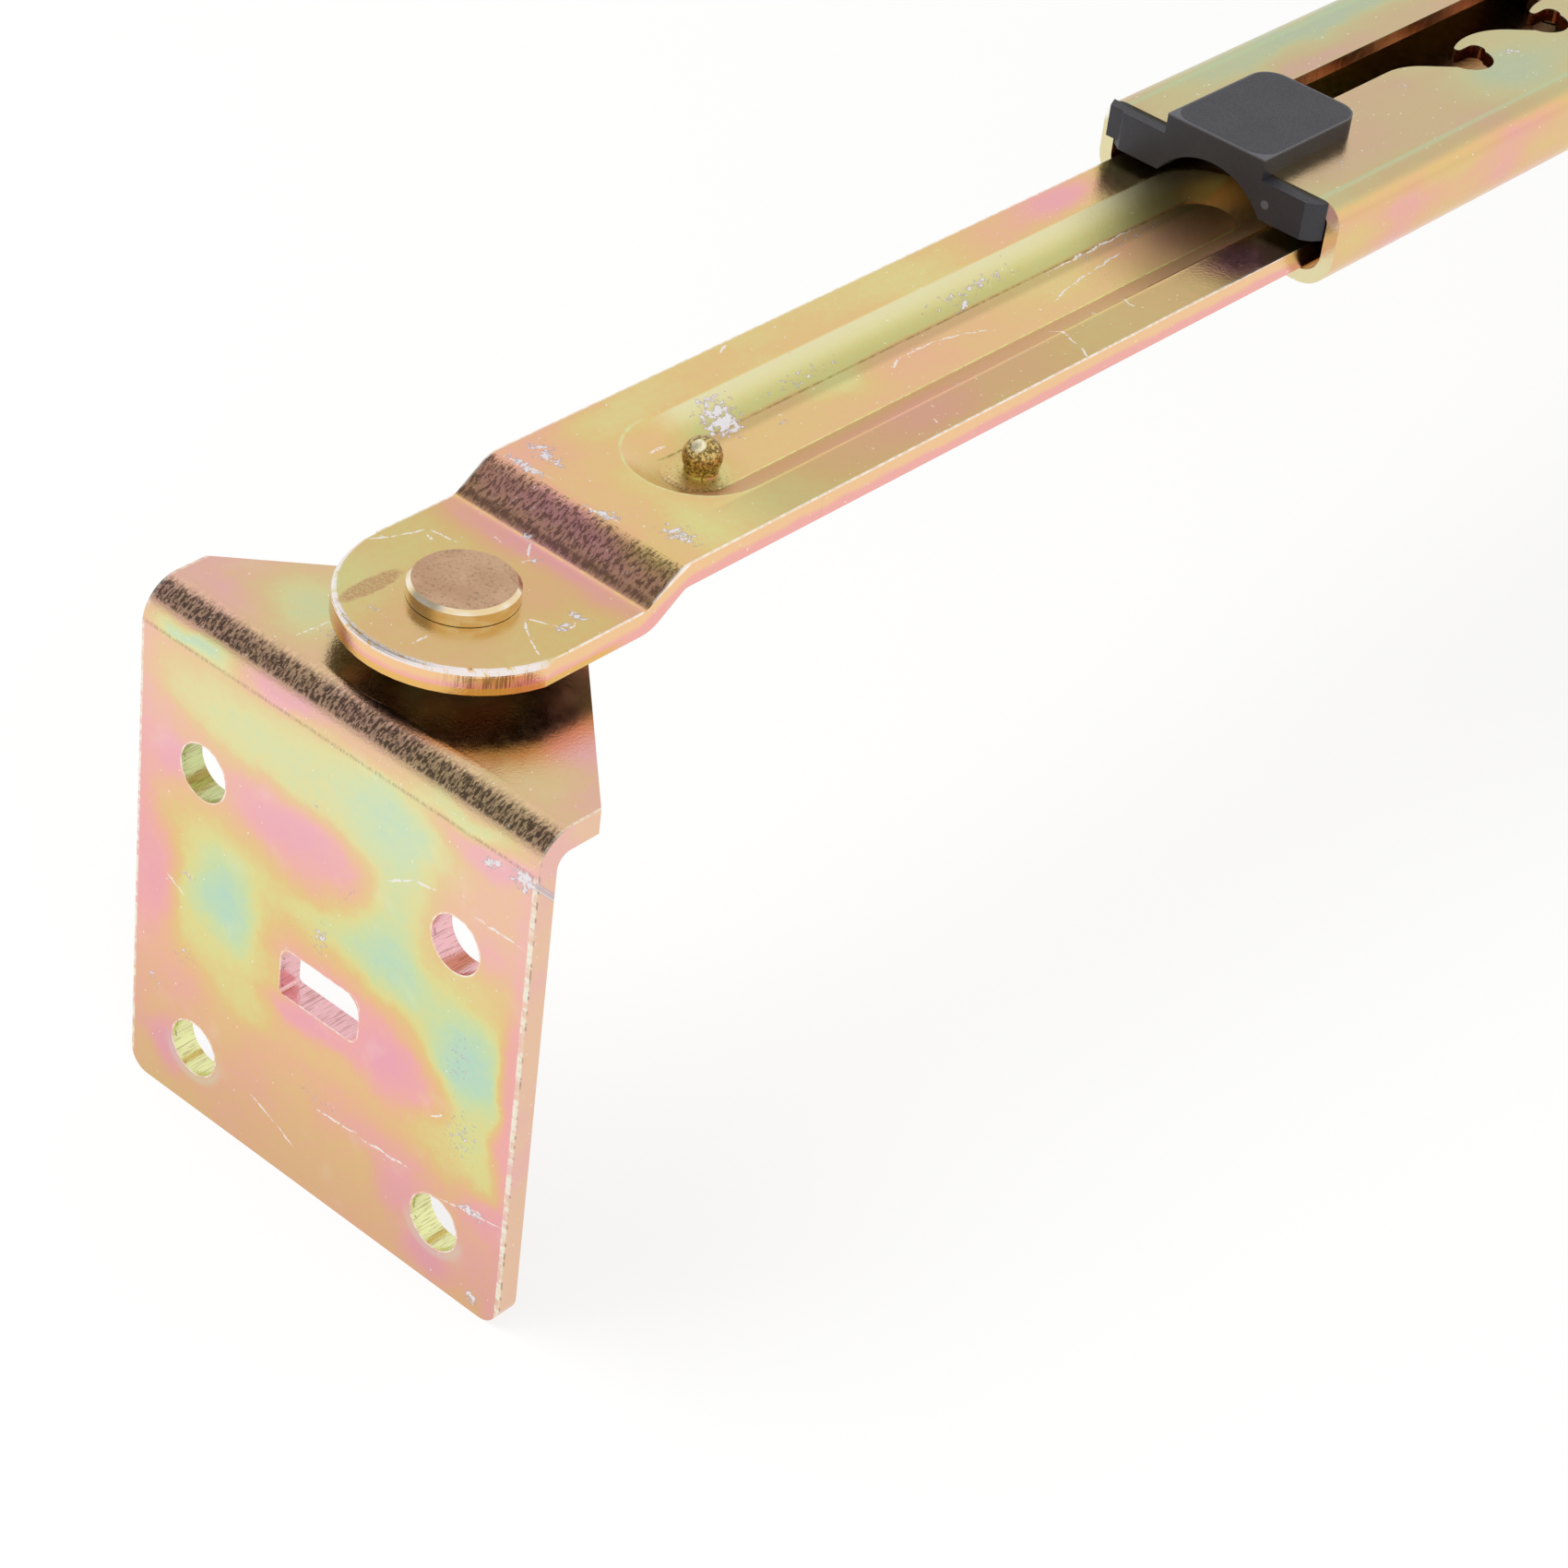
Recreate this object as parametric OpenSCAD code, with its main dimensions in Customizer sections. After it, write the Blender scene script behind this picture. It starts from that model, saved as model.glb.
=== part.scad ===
// Telescopic ratchet stay: a pressed arm slides in a notched rail between two
// folded brackets, and a swinging pawl under the rail's top catches the notches.
// Y runs along the arm and Z is up. The origin is the centre of the front
// plate's four holes, on the plate's outer face.

/* [Brackets] */
// Spacing of the four screw holes, across and down
hole_pitch = 32; // [28:1:40]
// Diameter of the screw holes
hole_d = 5.8; // [4:0.1:7]
// Upper holes' distance below the flange's top
hole_drop = 15.8; // [12:0.1:20]
// Holes' distance from the plate's side edges
hole_side = 8.5; // [7:0.1:11]
// Lower holes' distance from the plate's bottom edge
hole_low = 7.1; // [6:0.1:12]
// Thickness of the brackets' sheet
bracket_t = 2.5; // [2:0.1:3]
// Inner radius of the brackets' fold
bracket_fold_r = 1.5; // [0.8:0.1:2.5]
// Radius of the plate's lower corners
plate_corner_r = 2.2; // [1:0.1:5]
// Length of the tie slot between the holes
tie_slot_l = 10.1; // [6:0.1:14]
// Height of the tie slot
tie_slot_h = 5.25; // [4:0.05:6]
// Height of the tie slot's middle above the middle of the holes
tie_slot_rise = 0.3; // [0:0.05:1]
// Radius of the tie slot's corners
tie_slot_r = 1.8; // [0.8:0.1:1.9]
// Distance over which the flange keeps its full width
flange_shoulder = 7.4; // [5.6:0.1:9]
// Angle between the flange's tapered sides and the arm
flange_taper = 47; // [40:1:52]
// Rivet's distance from the plate's outer face
rivet_reach = 14.9; // [13:0.1:17]

/* [Pivots] */
// Diameter of the pivot rivets' shank
shank_d = 6; // [4:0.1:7]
// Diameter of the pivot rivets' flat head
head_d = 10.15; // [9:0.05:13]
// Height of the pivot rivets' flat head
head_h = 1.57; // [1:0.01:2.4]
// Diameter of the rivets' formed end
formed_d = 9.4; // [8.6:0.1:12]
// Height of the rivets' formed end
formed_h = 1.4; // [0.8:0.1:2]
// Outer diameter of the spacer washers
washer_d = 14; // [11:0.5:18]
// Thickness of the spacer washers
washer_t = 3; // [2:0.1:4]
// Radial running clearance of every pivot
bore_play = 0.05; // [0.02:0.01:0.08]
// Gap between the faces of pieces that turn on each other
face_play = 0.05; // [0.03:0.01:0.1]

/* [Arm] */
// Width of the arm
arm_w = 23.8; // [21:0.1:24.6]
// Thickness of the arm's sheet
arm_t = 2.5; // [2:0.1:2.8]
// Radius of the arm's round end
arm_end_r = 12.2; // [12.15:0.05:13.5]
// Distance of the round end's centre past the rivet
arm_end_shift = 0.95; // [0:0.05:2]
// Length of the lower flat from the rivet to the step
arm_flat = 10.2; // [9:0.1:13]
// Height of the arm's step
arm_step = 2.8; // [2:0.1:4]
// Slope of the arm's step
arm_step_angle = 34; // [28:1:50]
// Inner radius of the arm's bends
arm_bend_r = 1.5; // [1:0.1:2]
// Radius of the corners at the arm's inner end
arm_corner_r = 4; // [2:0.5:6]
// Radius of the rolled upper rim of the arm's round end
rim_r = 0.7; // [0.3:0.1:1]

/* [Groove] */
// Width of the sunken groove at the arm's top
groove_w = 14.3; // [12:0.1:16]
// Width of the groove's flat floor
groove_floor_w = 6.65; // [3:0.05:8]
// Depth of the groove
groove_depth = 2.1; // [0.8:0.1:2.2]
// Centre of the groove's near end, from the rivet
groove_start = 29.7; // [26:0.1:40]
// Centre of the groove's far end, from the rivet
groove_end = 106; // [80:1:130]
// Diameter of the ball-topped stud at the groove's near end
stud_d = 3.8; // [3:0.1:5]
// Height of the stud above the groove's floor
stud_h = 3.45; // [2.9:0.05:4]
// Distance of the stud from the rivet
stud_at = 30.3; // [29:0.1:34]

/* [Rail] */
// Room between the arm's edge and the rail's outside
rail_room = 3.15; // [2.9:0.05:4.5]
// Outer height of the rail
rail_h = 9.9; // [9.8:0.1:12]
// Thickness of the rail's sheet
rail_t = 1.5; // [1.2:0.1:1.7]
// Outer radius of the rail's upper folds
rail_top_r = 2.5; // [1.8:0.1:3]
// Outer radius of the rail's lower folds
rail_low_r = 3.8; // [3:0.1:4.2]
// Distance that each lip reaches under the arm
lip_reach = 2.9; // [2:0.1:3.4]
// Gap between the arm's underside and the lips
lip_play = 0.5; // [0.3:0.1:0.8]
// Distance of the rail's mouth from the front rivet, as shown
mouth_at = 107.5; // [95:0.5:125]
// Room past the arm's inner end when the stay is shut
shut_room = 2.5; // [1:0.5:10]

/* [Slot] */
// Width of the slot's free lane
lane_w = 5.2; // [4.8:0.1:5.4]
// Centre of the free lane, from the rail's middle
lane_u = -2.5; // [-3:0.1:-2]
// Start of the slot, from the rail's mouth
slot_start = 4; // [3:0.5:8]
// Centre of the first notch, from the rail's mouth
first_notch = 38.7; // [36:0.1:50]
// Distance from one notch to the next
notch_pitch = 14.5; // [13:0.1:18]
// Number of notches
notch_count = 6; // [4:1:8]
// Radius of a notch's pocket
pocket_r = 2.85; // [2.6:0.05:3]
// Centre of a notch's pocket, from the rail's middle
pocket_u = 3.4; // [3.3:0.05:3.8]
// Radius of the rounded shoulder before the first notch
shoulder_r = 7; // [6:0.1:8]
// Start of that shoulder, before the pocket's centre
shoulder_before = 10.1; // [9.8:0.1:10.4]
// Radius of the rounded teeth between the notches
tooth_r = 8.5; // [8:0.1:9]
// Distance that the teeth's crests stay back from the lane's edge
tooth_back = 0.35; // [0.2:0.05:0.4]
// Distance of a tooth's crest past the pocket before it
crest_ahead = 4.1; // [3.9:0.1:4.3]
// Slope of a notch's ramp, from the slot's length
ramp_angle = 39.5; // [36:0.5:42]
// Depth of a tooth's nose over the pocket
nose_t = 1.8; // [1.5:0.1:1.9]
// Radius of a nose's tip
nose_r = 0.4; // [0.3:0.05:0.5]
// Radius of the pocket's corner under the nose
heel_r = 1; // [0.8:0.1:1.2]
// Length of lane past the last notch
lane_tail = 6; // [5:0.5:12]

/* [Guide] */
// How far the guide stands out of the rail's mouth
guide_proud = 1.7; // [1:0.1:3]
// Length of the guide inside the rail
guide_depth = 12; // [8:0.5:20]
// Gap between the guide's feet and the arm
guide_gap = 1; // [0.3:0.1:1.2]
// Width of the arch between the guide's feet
arch_w = 13; // [12:0.1:15]
// Height of the arch
arch_rise = 3.5; // [2.4:0.1:3.6]
// Width of the guide's tab
tab_w = 12.4; // [10:0.1:14]
// Centre of the tab, from the rail's middle
tab_u = -0.1; // [-1.5:0.1:0.5]
// Reach of the tab over the rail's top
tab_reach = 15.1; // [14:0.1:24]
// Thickness of the tab
tab_t = 2.1; // [1.5:0.1:3]
// Radius of the tab's far corners
tab_corner_r = 2.6; // [2:0.1:5]
// Reach of the guide's ear over the end of the rail's wall
ear_reach = 0.9; // [0.4:0.1:1.2]
// Clearance of the guide and the slider in the rail
fit_play = 0.25; // [0.15:0.05:0.4]

/* [Latch] */
// Diameter of the latch pin
pin_d = 3.4; // [3:0.1:3.5]
// Across position of the pin's centre in a notch
pin_home_u = 3.35; // [3.2:0.05:3.45]
// Distance of the pin's centre before the pocket's centre
pin_lead = 1.07; // [1:0.01:1.07]
// Notch that the pin stands beside, counted from zero at the mouth
rest_notch = 2; // [2:1:3]
// Distance from the pawl's rivet to its pin
pawl_l = 20; // [16:0.5:24]
// Thickness of the pawl
pawl_t = 2; // [1.6:0.1:2.1]
// Radius of the pawl around its rivet
pawl_eye_r = 5.2; // [4.5:0.1:6]
// Radius of the pawl around its pin
pawl_tip_r = 3.4; // [3:0.1:4]
// Distance from the pawl's rivet to its spring hole
pawl_tail = 7.5; // [7:0.1:9]
// Diameter of the pawl's rivet
pawl_shank_d = 5; // [4:0.1:6]
// Diameter of the spring's wire
wire_d = 1; // [0.8:0.1:1.2]
// Radius of the spring's loop
loop_r = 5.6; // [5.4:0.1:6]
// Distance from the pawl's rivet to the spring's hole in the arm
spring_reach = 18; // [17:0.1:18.4]
// Arm's length past the pawl's rivet
arm_tail = 27.5; // [25:0.5:34]

/* [Slider] */
// Length of the slider's side runners
runner_l = 38; // [28:0.5:44]
// Length of the slider's bridge
bridge_l = 6; // [5:0.5:7]
// Gap between the slider and the rail's top
slider_play = 0.2; // [0.1:0.05:0.3]
// Diameter of the slider's pegs
peg_d = 3; // [2:0.1:3.6]
// Spacing of the slider's pegs
peg_pitch = 15; // [12:0.5:17]

/* [Tongue] */
// Width of the rail's rear tongue
tongue_w = 22; // [18:0.5:24]
// Slope of the tongue's step
tongue_angle = 50; // [40:1:60]
// Inner radius of the tongue's bends
tongue_bend_r = 1.5; // [1:0.1:2.5]
// Length of the tongue's flat from the step to the rivet
tongue_flat = 10.5; // [8:0.5:14]
// Length of top past the side walls before the step
tongue_lead = 2; // [1:0.5:5]

/* [Hidden] */
$fn = 64;
over = 1;

plate_w = hole_pitch + 2 * hole_side;
plate_drop = hole_drop + hole_pitch + hole_low;
fold_out = bracket_fold_r + bracket_t;

z_flange = hole_drop + hole_pitch / 2;
z_low = z_flange + washer_t + face_play;
z_arm = z_low + arm_step;
z_arm_top = z_arm + arm_t;
z_rail = z_arm - lip_play - rail_t;
z_web = z_rail + rail_h - rail_t;
z_top = z_web + rail_t;

rail_w = arm_w + 2 * rail_room;
lip_gap = arm_w - 2 * lip_reach;
lane_edge = lane_u + lane_w / 2;
rest_notch_at = mouth_at + first_notch + rest_notch * notch_pitch;
pin_at = rest_notch_at - pin_lead;
half_swing = asin((pin_home_u - lane_u) / 2 / pawl_l);
pawl_u = (pin_home_u + lane_u) / 2;
pawl_at = pin_at + pawl_l * cos(half_swing);
pawl_z = z_arm_top + 2 * face_play;
arm_end = pawl_at + arm_tail;
rail_end = arm_end + (notch_count - 1 - rest_notch) * notch_pitch + shut_room;
inner_half = rail_w / 2 - rail_t - fit_play;

tongue_drop = z_web - z_low;
tongue_run = step_run(rail_t, tongue_bend_r, tongue_angle, tongue_drop);
rear_at = rail_end + tongue_lead + tongue_run + tongue_flat;

// Straight part and overall run of a step with two bends
function step_slope(t, r, angle, rise) = (rise - (2 * r + t) * (1 - cos(angle))) / sin(angle);
function step_run(t, r, angle, rise) =
    (2 * r + t) * sin(angle) + step_slope(t, r, angle, rise) * cos(angle);

// Places a shape that is drawn from the front rivet
module from_rivet(v = 0, z = 0) {
    translate([0, rivet_reach + v, z]) children();
}

// Extrudes a profile drawn as length and height across the stay's width
module across(width) {
    rotate([90, 0, 90]) linear_extrude(width, center = true) children();
}

// Extrudes a profile drawn as width and height along the stay
module along(length) {
    rotate([90, 0, 180]) linear_extrude(length) mirror([1, 0]) children();
}

// Quarter section of a fold in sheet, from straight up round to the left
module fold_section(r, t) {
    intersection() {
        difference() {
            circle(r + t);
            circle(r);
        }
        translate([-r - t, 0]) square(r + t);
    }
}

// Points along an arc
function arc(centre, r, from, to, n = 8) =
    [for (i = [0 : n]) let (a = from + (to - from) * i / n) centre + r * [cos(a), sin(a)]];

// Side view of a strip that steps up by rise, with its rivet at zero
module stepped_strip(t, r, angle, rise, flat, tail, reach) {
    run = step_run(t, r, angle, rise);
    hollow = [flat, t + r];
    crown = [flat + run, rise - r];
    polygon(concat([[-tail, t]], arc(hollow, r, -90, angle - 90),
        arc(crown, r + t, 90 + angle, 90), [[reach, rise + t], [reach, rise]],
        arc(crown, r, 90, 90 + angle), arc(hollow, r + t, angle - 90, -90), [[-tail, 0]]));
}

// Rectangle from y = 0 upwards with its two far corners rounded
module round_far(w, l, r) {
    translate([-w / 2, 0]) square([w, l - r]);
    translate([-w / 2 + r, 0]) square([w - 2 * r, l]);
    for (s = [-1, 1]) translate([s * (w / 2 - r), l - r]) circle(r);
}

// Outline of the tie slot, with one corner nearly square
module tie_slot() {
    l = tie_slot_l / 2;
    h = tie_slot_h / 2;
    r = tie_slot_r;
    tight = 0.28 * tie_slot_r;
    translate([0, tie_slot_rise]) polygon(concat(arc([l - r, h - r], r, 0, 90),
        arc([r - l, h - r], r, 90, 180), arc([tight - l, tight - h], tight, 180, 270, 4),
        arc([l - r, r - h], r, 270, 360)));
}

// Plan of the flange: full width, then tapered to a round round the rivet
module flange_plan() {
    tip_r = plate_w / 2 * cos(flange_taper)
        - (rivet_reach - flange_shoulder) * sin(flange_taper);
    touch = [tip_r * cos(flange_taper), rivet_reach + tip_r * sin(flange_taper)];
    polygon([[-plate_w / 2, fold_out], [plate_w / 2, fold_out],
        [plate_w / 2, flange_shoulder], touch, [-touch[0], touch[1]],
        [-plate_w / 2, flange_shoulder]]);
    translate([0, rivet_reach]) circle(tip_r);
}

module bracket() {
    difference() {
        union() {
            translate([0, bracket_t, z_flange - fold_out]) rotate([90, 0, 0])
                mirror([0, 1]) linear_extrude(bracket_t)
                round_far(plate_w, plate_drop - fold_out, plate_corner_r);
            translate([0, fold_out, z_flange - fold_out]) across(plate_w)
                fold_section(bracket_fold_r, bracket_t);
            translate([0, 0, z_flange - bracket_t]) linear_extrude(bracket_t) flange_plan();
        }
        for (x = [-1, 1], z = [-1, 1])
            translate([x * hole_pitch / 2, -over, z * hole_pitch / 2])
                rotate([-90, 0, 0]) cylinder(h = bracket_t + 2 * over, d = hole_d);
        translate([0, bracket_t + over, 0]) rotate([90, 0, 0])
            linear_extrude(bracket_t + 2 * over) tie_slot();
        translate([0, rivet_reach, z_flange - bracket_t - over])
            cylinder(h = bracket_t + 2 * over, d = shank_d);
    }
}

module washer() {
    from_rivet(0, z_flange) difference() {
        cylinder(h = washer_t, d = washer_d);
        translate([0, 0, -over]) cylinder(h = washer_t + 2 * over, d = shank_d + 4 * bore_play);
    }
}

// Flat-headed rivet through the flange, the washer and a strip of thickness t
module pivot_rivet(t) {
    grip = z_low + t + face_play - (z_flange - bracket_t);
    edge = 0.25 * head_h;
    from_rivet(0, z_flange - bracket_t) rotate_extrude() polygon([
        [0, -formed_h], [0.32 * formed_d, -formed_h], [formed_d / 2, -0.4 * formed_h],
        [formed_d / 2, 0], [shank_d / 2, 0], [shank_d / 2, grip], [head_d / 2, grip],
        [head_d / 2, grip + head_h - edge], [head_d / 2 - edge, grip + head_h],
        [0, grip + head_h]]);
}

// Body of the groove, widened by grow and carried up by rise
module groove_form(grow, rise) {
    spread = (groove_w - groove_floor_w) / 2 / groove_depth;
    low_r = groove_floor_w / 2 + grow;
    high_r = groove_w / 2 + grow + rise * spread;
    tall = groove_depth + rise;
    from_rivet(groove_start, -groove_depth) {
        along(groove_end - groove_start)
            polygon([[-low_r, 0], [low_r, 0], [high_r, tall], [-high_r, tall]]);
        cylinder(h = tall, r1 = low_r, r2 = high_r);
    }
    from_rivet(groove_end, -groove_depth) cylinder(h = tall, r1 = low_r, r2 = high_r);
}

module arm_plan() {
    intersection() {
        translate([-arm_w / 2, -arm_end_r]) square([arm_w, arm_end_r + arm_end]);
        union() {
            translate([0, arm_end_shift]) circle(arm_end_r);
            translate([0, arm_end_shift]) round_far(arm_w, arm_end - arm_end_shift, arm_corner_r);
        }
    }
}

module arm_holes() {
    from_rivet(0, z_low - over) cylinder(h = arm_t + 2 * over, r = shank_d / 2 + bore_play);
    from_rivet(0, z_arm - over) {
        translate([pawl_u, pawl_at]) cylinder(h = arm_t + 2 * over, d = pawl_shank_d);
        translate([pawl_u, pawl_at + spring_reach])
            cylinder(h = arm_t + 2 * over, r = wire_d / 2 + 3 * bore_play);
        for (s = [-1, 1]) translate([s * peg_pitch / 2, arm_end - bridge_l / 2])
            cylinder(h = arm_t + 2 * over, d = peg_d);
    }
}

// Cutter that rolls over the upper rim of the arm's round end
module rim_cutter() {
    mid = arm_end_r - rim_r;
    from_rivet(arm_end_shift, z_low + arm_t - rim_r) rotate([0, 0, 180])
        rotate_extrude(angle = 180) polygon(concat(arc([mid, 0], rim_r, 90, 0, 6),
            [[arm_end_r + over, 0], [arm_end_r + over, rim_r + over], [mid, rim_r + over]]));
}

// Ball-topped stud on a narrower foot, from the groove's floor
module stud() {
    r = stud_d / 2;
    translate([0, 0, stud_h - r]) sphere(r);
    translate([0, 0, -0.5]) cylinder(h = stud_h - r + 0.5, r1 = 0.9 * r, r2 = 0.8 * r);
}

module sliding_arm() {
    outer_shift = arm_t * tan(atan(2 * groove_depth / (groove_w - groove_floor_w)) / 2);
    floor_z = z_arm_top - groove_depth;
    color([0.83, 0.74, 0.42]) difference() {
        union() {
            difference() {
                union() {
                    intersection() {
                        from_rivet(0, z_low) across(arm_w + 2) stepped_strip(arm_t, arm_bend_r,
                            arm_step_angle, arm_step, arm_flat, arm_end_r, arm_end + over);
                        from_rivet(0, z_low - over) linear_extrude(arm_step + arm_t + 2 * over)
                            arm_plan();
                    }
                    translate([0, 0, z_arm]) groove_form(outer_shift, 0);
                }
                translate([0, 0, z_arm_top]) groove_form(0, 0.5);
            }
            from_rivet(stud_at, floor_z) stud();
        }
        from_rivet(stud_at, floor_z - arm_t) sphere(0.35 * stud_d);
        rim_cutter();
        arm_holes();
    }
}

// Outline of a lever round three eyes in line, drawn from the middle one
function lever_outline(eye_r, tip_r, tip_d, tail_r, tail_d, aim) =
    let (a = acos((eye_r - tip_r) / tip_d), b = acos((eye_r - tail_r) / tail_d),
        dir = [cos(aim), sin(aim)])
    concat(arc(tip_d * dir, tip_r, aim - a, aim + a),
        arc([0, 0], eye_r, aim + a, aim + 180 - b),
        arc(-tail_d * dir, tail_r, aim + 180 - b, aim + 180 + b),
        arc([0, 0], eye_r, aim + 180 + b, aim + 360 - a));

module latch_pawl() {
    aim = -90 - half_swing;
    pin_dir = [cos(aim), sin(aim)];
    color([0.72, 0.72, 0.7]) from_rivet(pawl_at, pawl_z) translate([pawl_u, 0])
        difference() {
            linear_extrude(pawl_t) polygon(lever_outline(pawl_eye_r,
                pawl_tip_r, pawl_l, 2.2 * wire_d, pawl_tail, aim));
            translate([0, 0, -over])
                cylinder(h = pawl_t + 2 * over, r = pawl_shank_d / 2 + bore_play);
            translate(concat(pin_dir * pawl_l, -over))
                cylinder(h = pawl_t + 2 * over, d = 0.7 * pin_d);
            translate(concat(-pin_dir * pawl_tail, -over))
                cylinder(h = pawl_t + 2 * over, r = wire_d / 2 + 3 * bore_play);
        }
}

module latch_pin() {
    color([0.62, 0.62, 0.62]) from_rivet(pin_at, pawl_z) translate([lane_u, 0]) {
        cylinder(h = pawl_t, d = 0.7 * pin_d);
        translate([0, 0, pawl_t]) cylinder(h = z_top - 0.2 - pawl_z - pawl_t, d = pin_d);
    }
}

module pawl_rivet() {
    head = pawl_z + pawl_t + face_play - z_arm;
    color([0.68, 0.55, 0.42]) from_rivet(pawl_at, z_arm) translate([pawl_u, 0])
        rotate_extrude() polygon([
            [0, -1], [0.55 * pawl_shank_d, -1], [0.72 * pawl_shank_d, -0.4],
            [0.72 * pawl_shank_d, 0], [pawl_shank_d / 2, 0], [pawl_shank_d / 2, head],
            [0.8 * pawl_shank_d, head], [0.8 * pawl_shank_d, head + 0.8],
            [0.74 * pawl_shank_d, head + 1.1], [0, head + 1.1]]);
}

module click_spring() {
    hook = pawl_tail * [sin(half_swing), cos(half_swing)];
    post = [0, spring_reach];
    chord = post - hook;
    d = norm(chord);
    side = [chord[1], -chord[0]] / d;
    centre = (hook + post) / 2 + side * sqrt(loop_r * loop_r - d * d / 4);
    from = atan2(hook[1] - centre[1], hook[0] - centre[0]);
    to = atan2(post[1] - centre[1], post[0] - centre[0]);
    wire_z = pawl_z + pawl_t + 2 * face_play + wire_d / 2;
    leg_r = wire_d / 2 + bore_play;
    color([0.55, 0.56, 0.58]) from_rivet(pawl_at, wire_z) translate([pawl_u, 0]) {
        translate(centre) rotate([0, 0, from]) rotate_extrude(angle = to - from)
            translate([loop_r, 0]) circle(d = wire_d);
        for (end = [[hook, pawl_z + 0.4], [post, z_arm + 0.5]])
            translate(concat(end[0], end[1] - wire_z))
            cylinder(h = wire_z + leg_r - end[1], r = leg_r);
    }
}

// Half section of one slider runner, which grips the arm's edge
module runner_section() {
    inner = 0.72 * inner_half;
    arm_edge = arm_w / 2 + fit_play / 2;
    skirt = z_rail + rail_low_r - 0.8;
    top = z_web - slider_play;
    soft = rail_top_r - rail_t;
    polygon([[inner, z_arm_top], [inner, top], [inner_half - soft, top],
        [inner_half, top - soft], [inner_half, skirt], [arm_edge, skirt],
        [arm_edge, z_arm_top]]);
}

module inner_slider() {
    color([0.2, 0.2, 0.22]) {
        for (s = [0, 1]) mirror([s, 0, 0]) from_rivet(arm_end - runner_l)
            along(runner_l) runner_section();
        from_rivet(arm_end - bridge_l, z_arm_top)
            translate([-0.75 * inner_half, 0, 0])
            cube([1.5 * inner_half, bridge_l, z_web - slider_play - z_arm_top]);
        for (s = [-1, 1]) from_rivet(arm_end - bridge_l / 2, z_arm + 0.1)
            translate([s * peg_pitch / 2, 0, 0]) cylinder(h = arm_t, d = peg_d);
    }
}

// Outside of the rail's section, grown inwards by inset
module rail_outline(inset) {
    w = rail_w - 2 * inset;
    h = rail_h - 2 * inset;
    top_r = rail_top_r - inset;
    low_r = rail_low_r - inset;
    translate([0, inset]) {
        translate([-w / 2, low_r]) square([w, h - top_r - low_r]);
        translate([-w / 2 + top_r, low_r]) square([w - 2 * top_r, h - low_r]);
        translate([-w / 2 + low_r, 0]) square([w - 2 * low_r, h - top_r]);
        for (s = [-1, 1]) {
            translate([s * (w / 2 - top_r), h - top_r]) circle(top_r);
            translate([s * (w / 2 - low_r), low_r]) circle(low_r);
        }
    }
}

// Edge of one notch, from the shoulder or crest before it to its own tooth's crest
function notch_edge(v, first) =
    let (pocket = [pocket_u, v],
        before_r = first ? shoulder_r : tooth_r,
        before = first ? [lane_edge + shoulder_r, v - shoulder_before]
            : [lane_edge + tooth_back + tooth_r, v + crest_ahead - notch_pitch],
        after = [lane_edge + tooth_back + tooth_r, v + crest_ahead],
        slope = [sin(ramp_angle), cos(ramp_angle)],
        top = before + before_r * [-cos(ramp_angle), sin(ramp_angle)] - pocket,
        along_ramp = -(top * slope),
        off_ramp = top * top - along_ramp * along_ramp,
        foot = top + slope * (along_ramp - sqrt(max(0, pocket_r * pocket_r - off_ramp))),
        heel = [lane_edge + nose_t + heel_r - pocket_u, pocket_r - heel_r + 0.55],
        gap = norm(heel),
        reach = (gap * gap + pocket_r * pocket_r - heel_r * heel_r) / (2 * gap),
        aside = sqrt(max(0, pocket_r * pocket_r - reach * reach)),
        meet = (reach * heel + aside * [heel[1], -heel[0]]) / gap,
        turn = meet - heel,
        tip_u = lane_edge + nose_t - nose_r,
        tip_back = sqrt(pow(tooth_r - nose_r, 2) - pow(after[0] - tip_u, 2)),
        tip = [tip_u, after[1] - tip_back],
        tip_aim = atan2(tip_back, after[0] - tip_u))
    concat(arc(before, before_r, 180, 180 - ramp_angle, 6),
        arc(pocket, pocket_r, atan2(foot[1], foot[0]), atan2(meet[1], meet[0]), 14),
        arc(pocket + heel, heel_r, atan2(turn[1], turn[0]), 180, 8),
        arc(tip, nose_r, 0, tip_aim - 180, 6),
        arc(after, tooth_r, 180 + tip_aim - 3, 180 + tip_aim / 4, 4));

module slot_plan() {
    last = first_notch + (notch_count - 1) * notch_pitch + lane_tail;
    polygon(concat([[lane_edge - lane_w, slot_start], [lane_edge, slot_start]],
        [for (k = [0 : notch_count - 1]) each notch_edge(first_notch + k * notch_pitch, k == 0)],
        [[lane_edge + tooth_back, last - lane_tail + crest_ahead],
        [lane_edge + tooth_back, last], [lane_edge - lane_w, last]]));
}

module rail() {
    rear_reach = rear_at - rail_end + 3;
    color([0.76, 0.71, 0.56]) difference() {
        union() {
            from_rivet(mouth_at, z_rail) along(rail_end - mouth_at) difference() {
                rail_outline(0);
                rail_outline(rail_t);
                translate([-lip_gap / 2, -over]) square([lip_gap, rail_t + 2 * over]);
            }
            intersection() {
                from_rivet(rear_at, z_low) mirror([0, 1, 0]) across(tongue_w)
                    stepped_strip(rail_t, tongue_bend_r, tongue_angle, tongue_drop,
                        tongue_flat, tongue_w, rear_reach);
                from_rivet(rear_at, z_low - over)
                    linear_extrude(tongue_drop + rail_t + 2 * over) {
                        circle(d = tongue_w);
                        translate([-tongue_w / 2, -rear_reach]) square([tongue_w, rear_reach]);
                    }
            }
        }
        from_rivet(mouth_at, z_web - over / 2) linear_extrude(rail_t + over) slot_plan();
        from_rivet(rear_at, z_low - over)
            cylinder(h = rail_t + 2 * over, r = shank_d / 2 + bore_play);
    }
}

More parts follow.
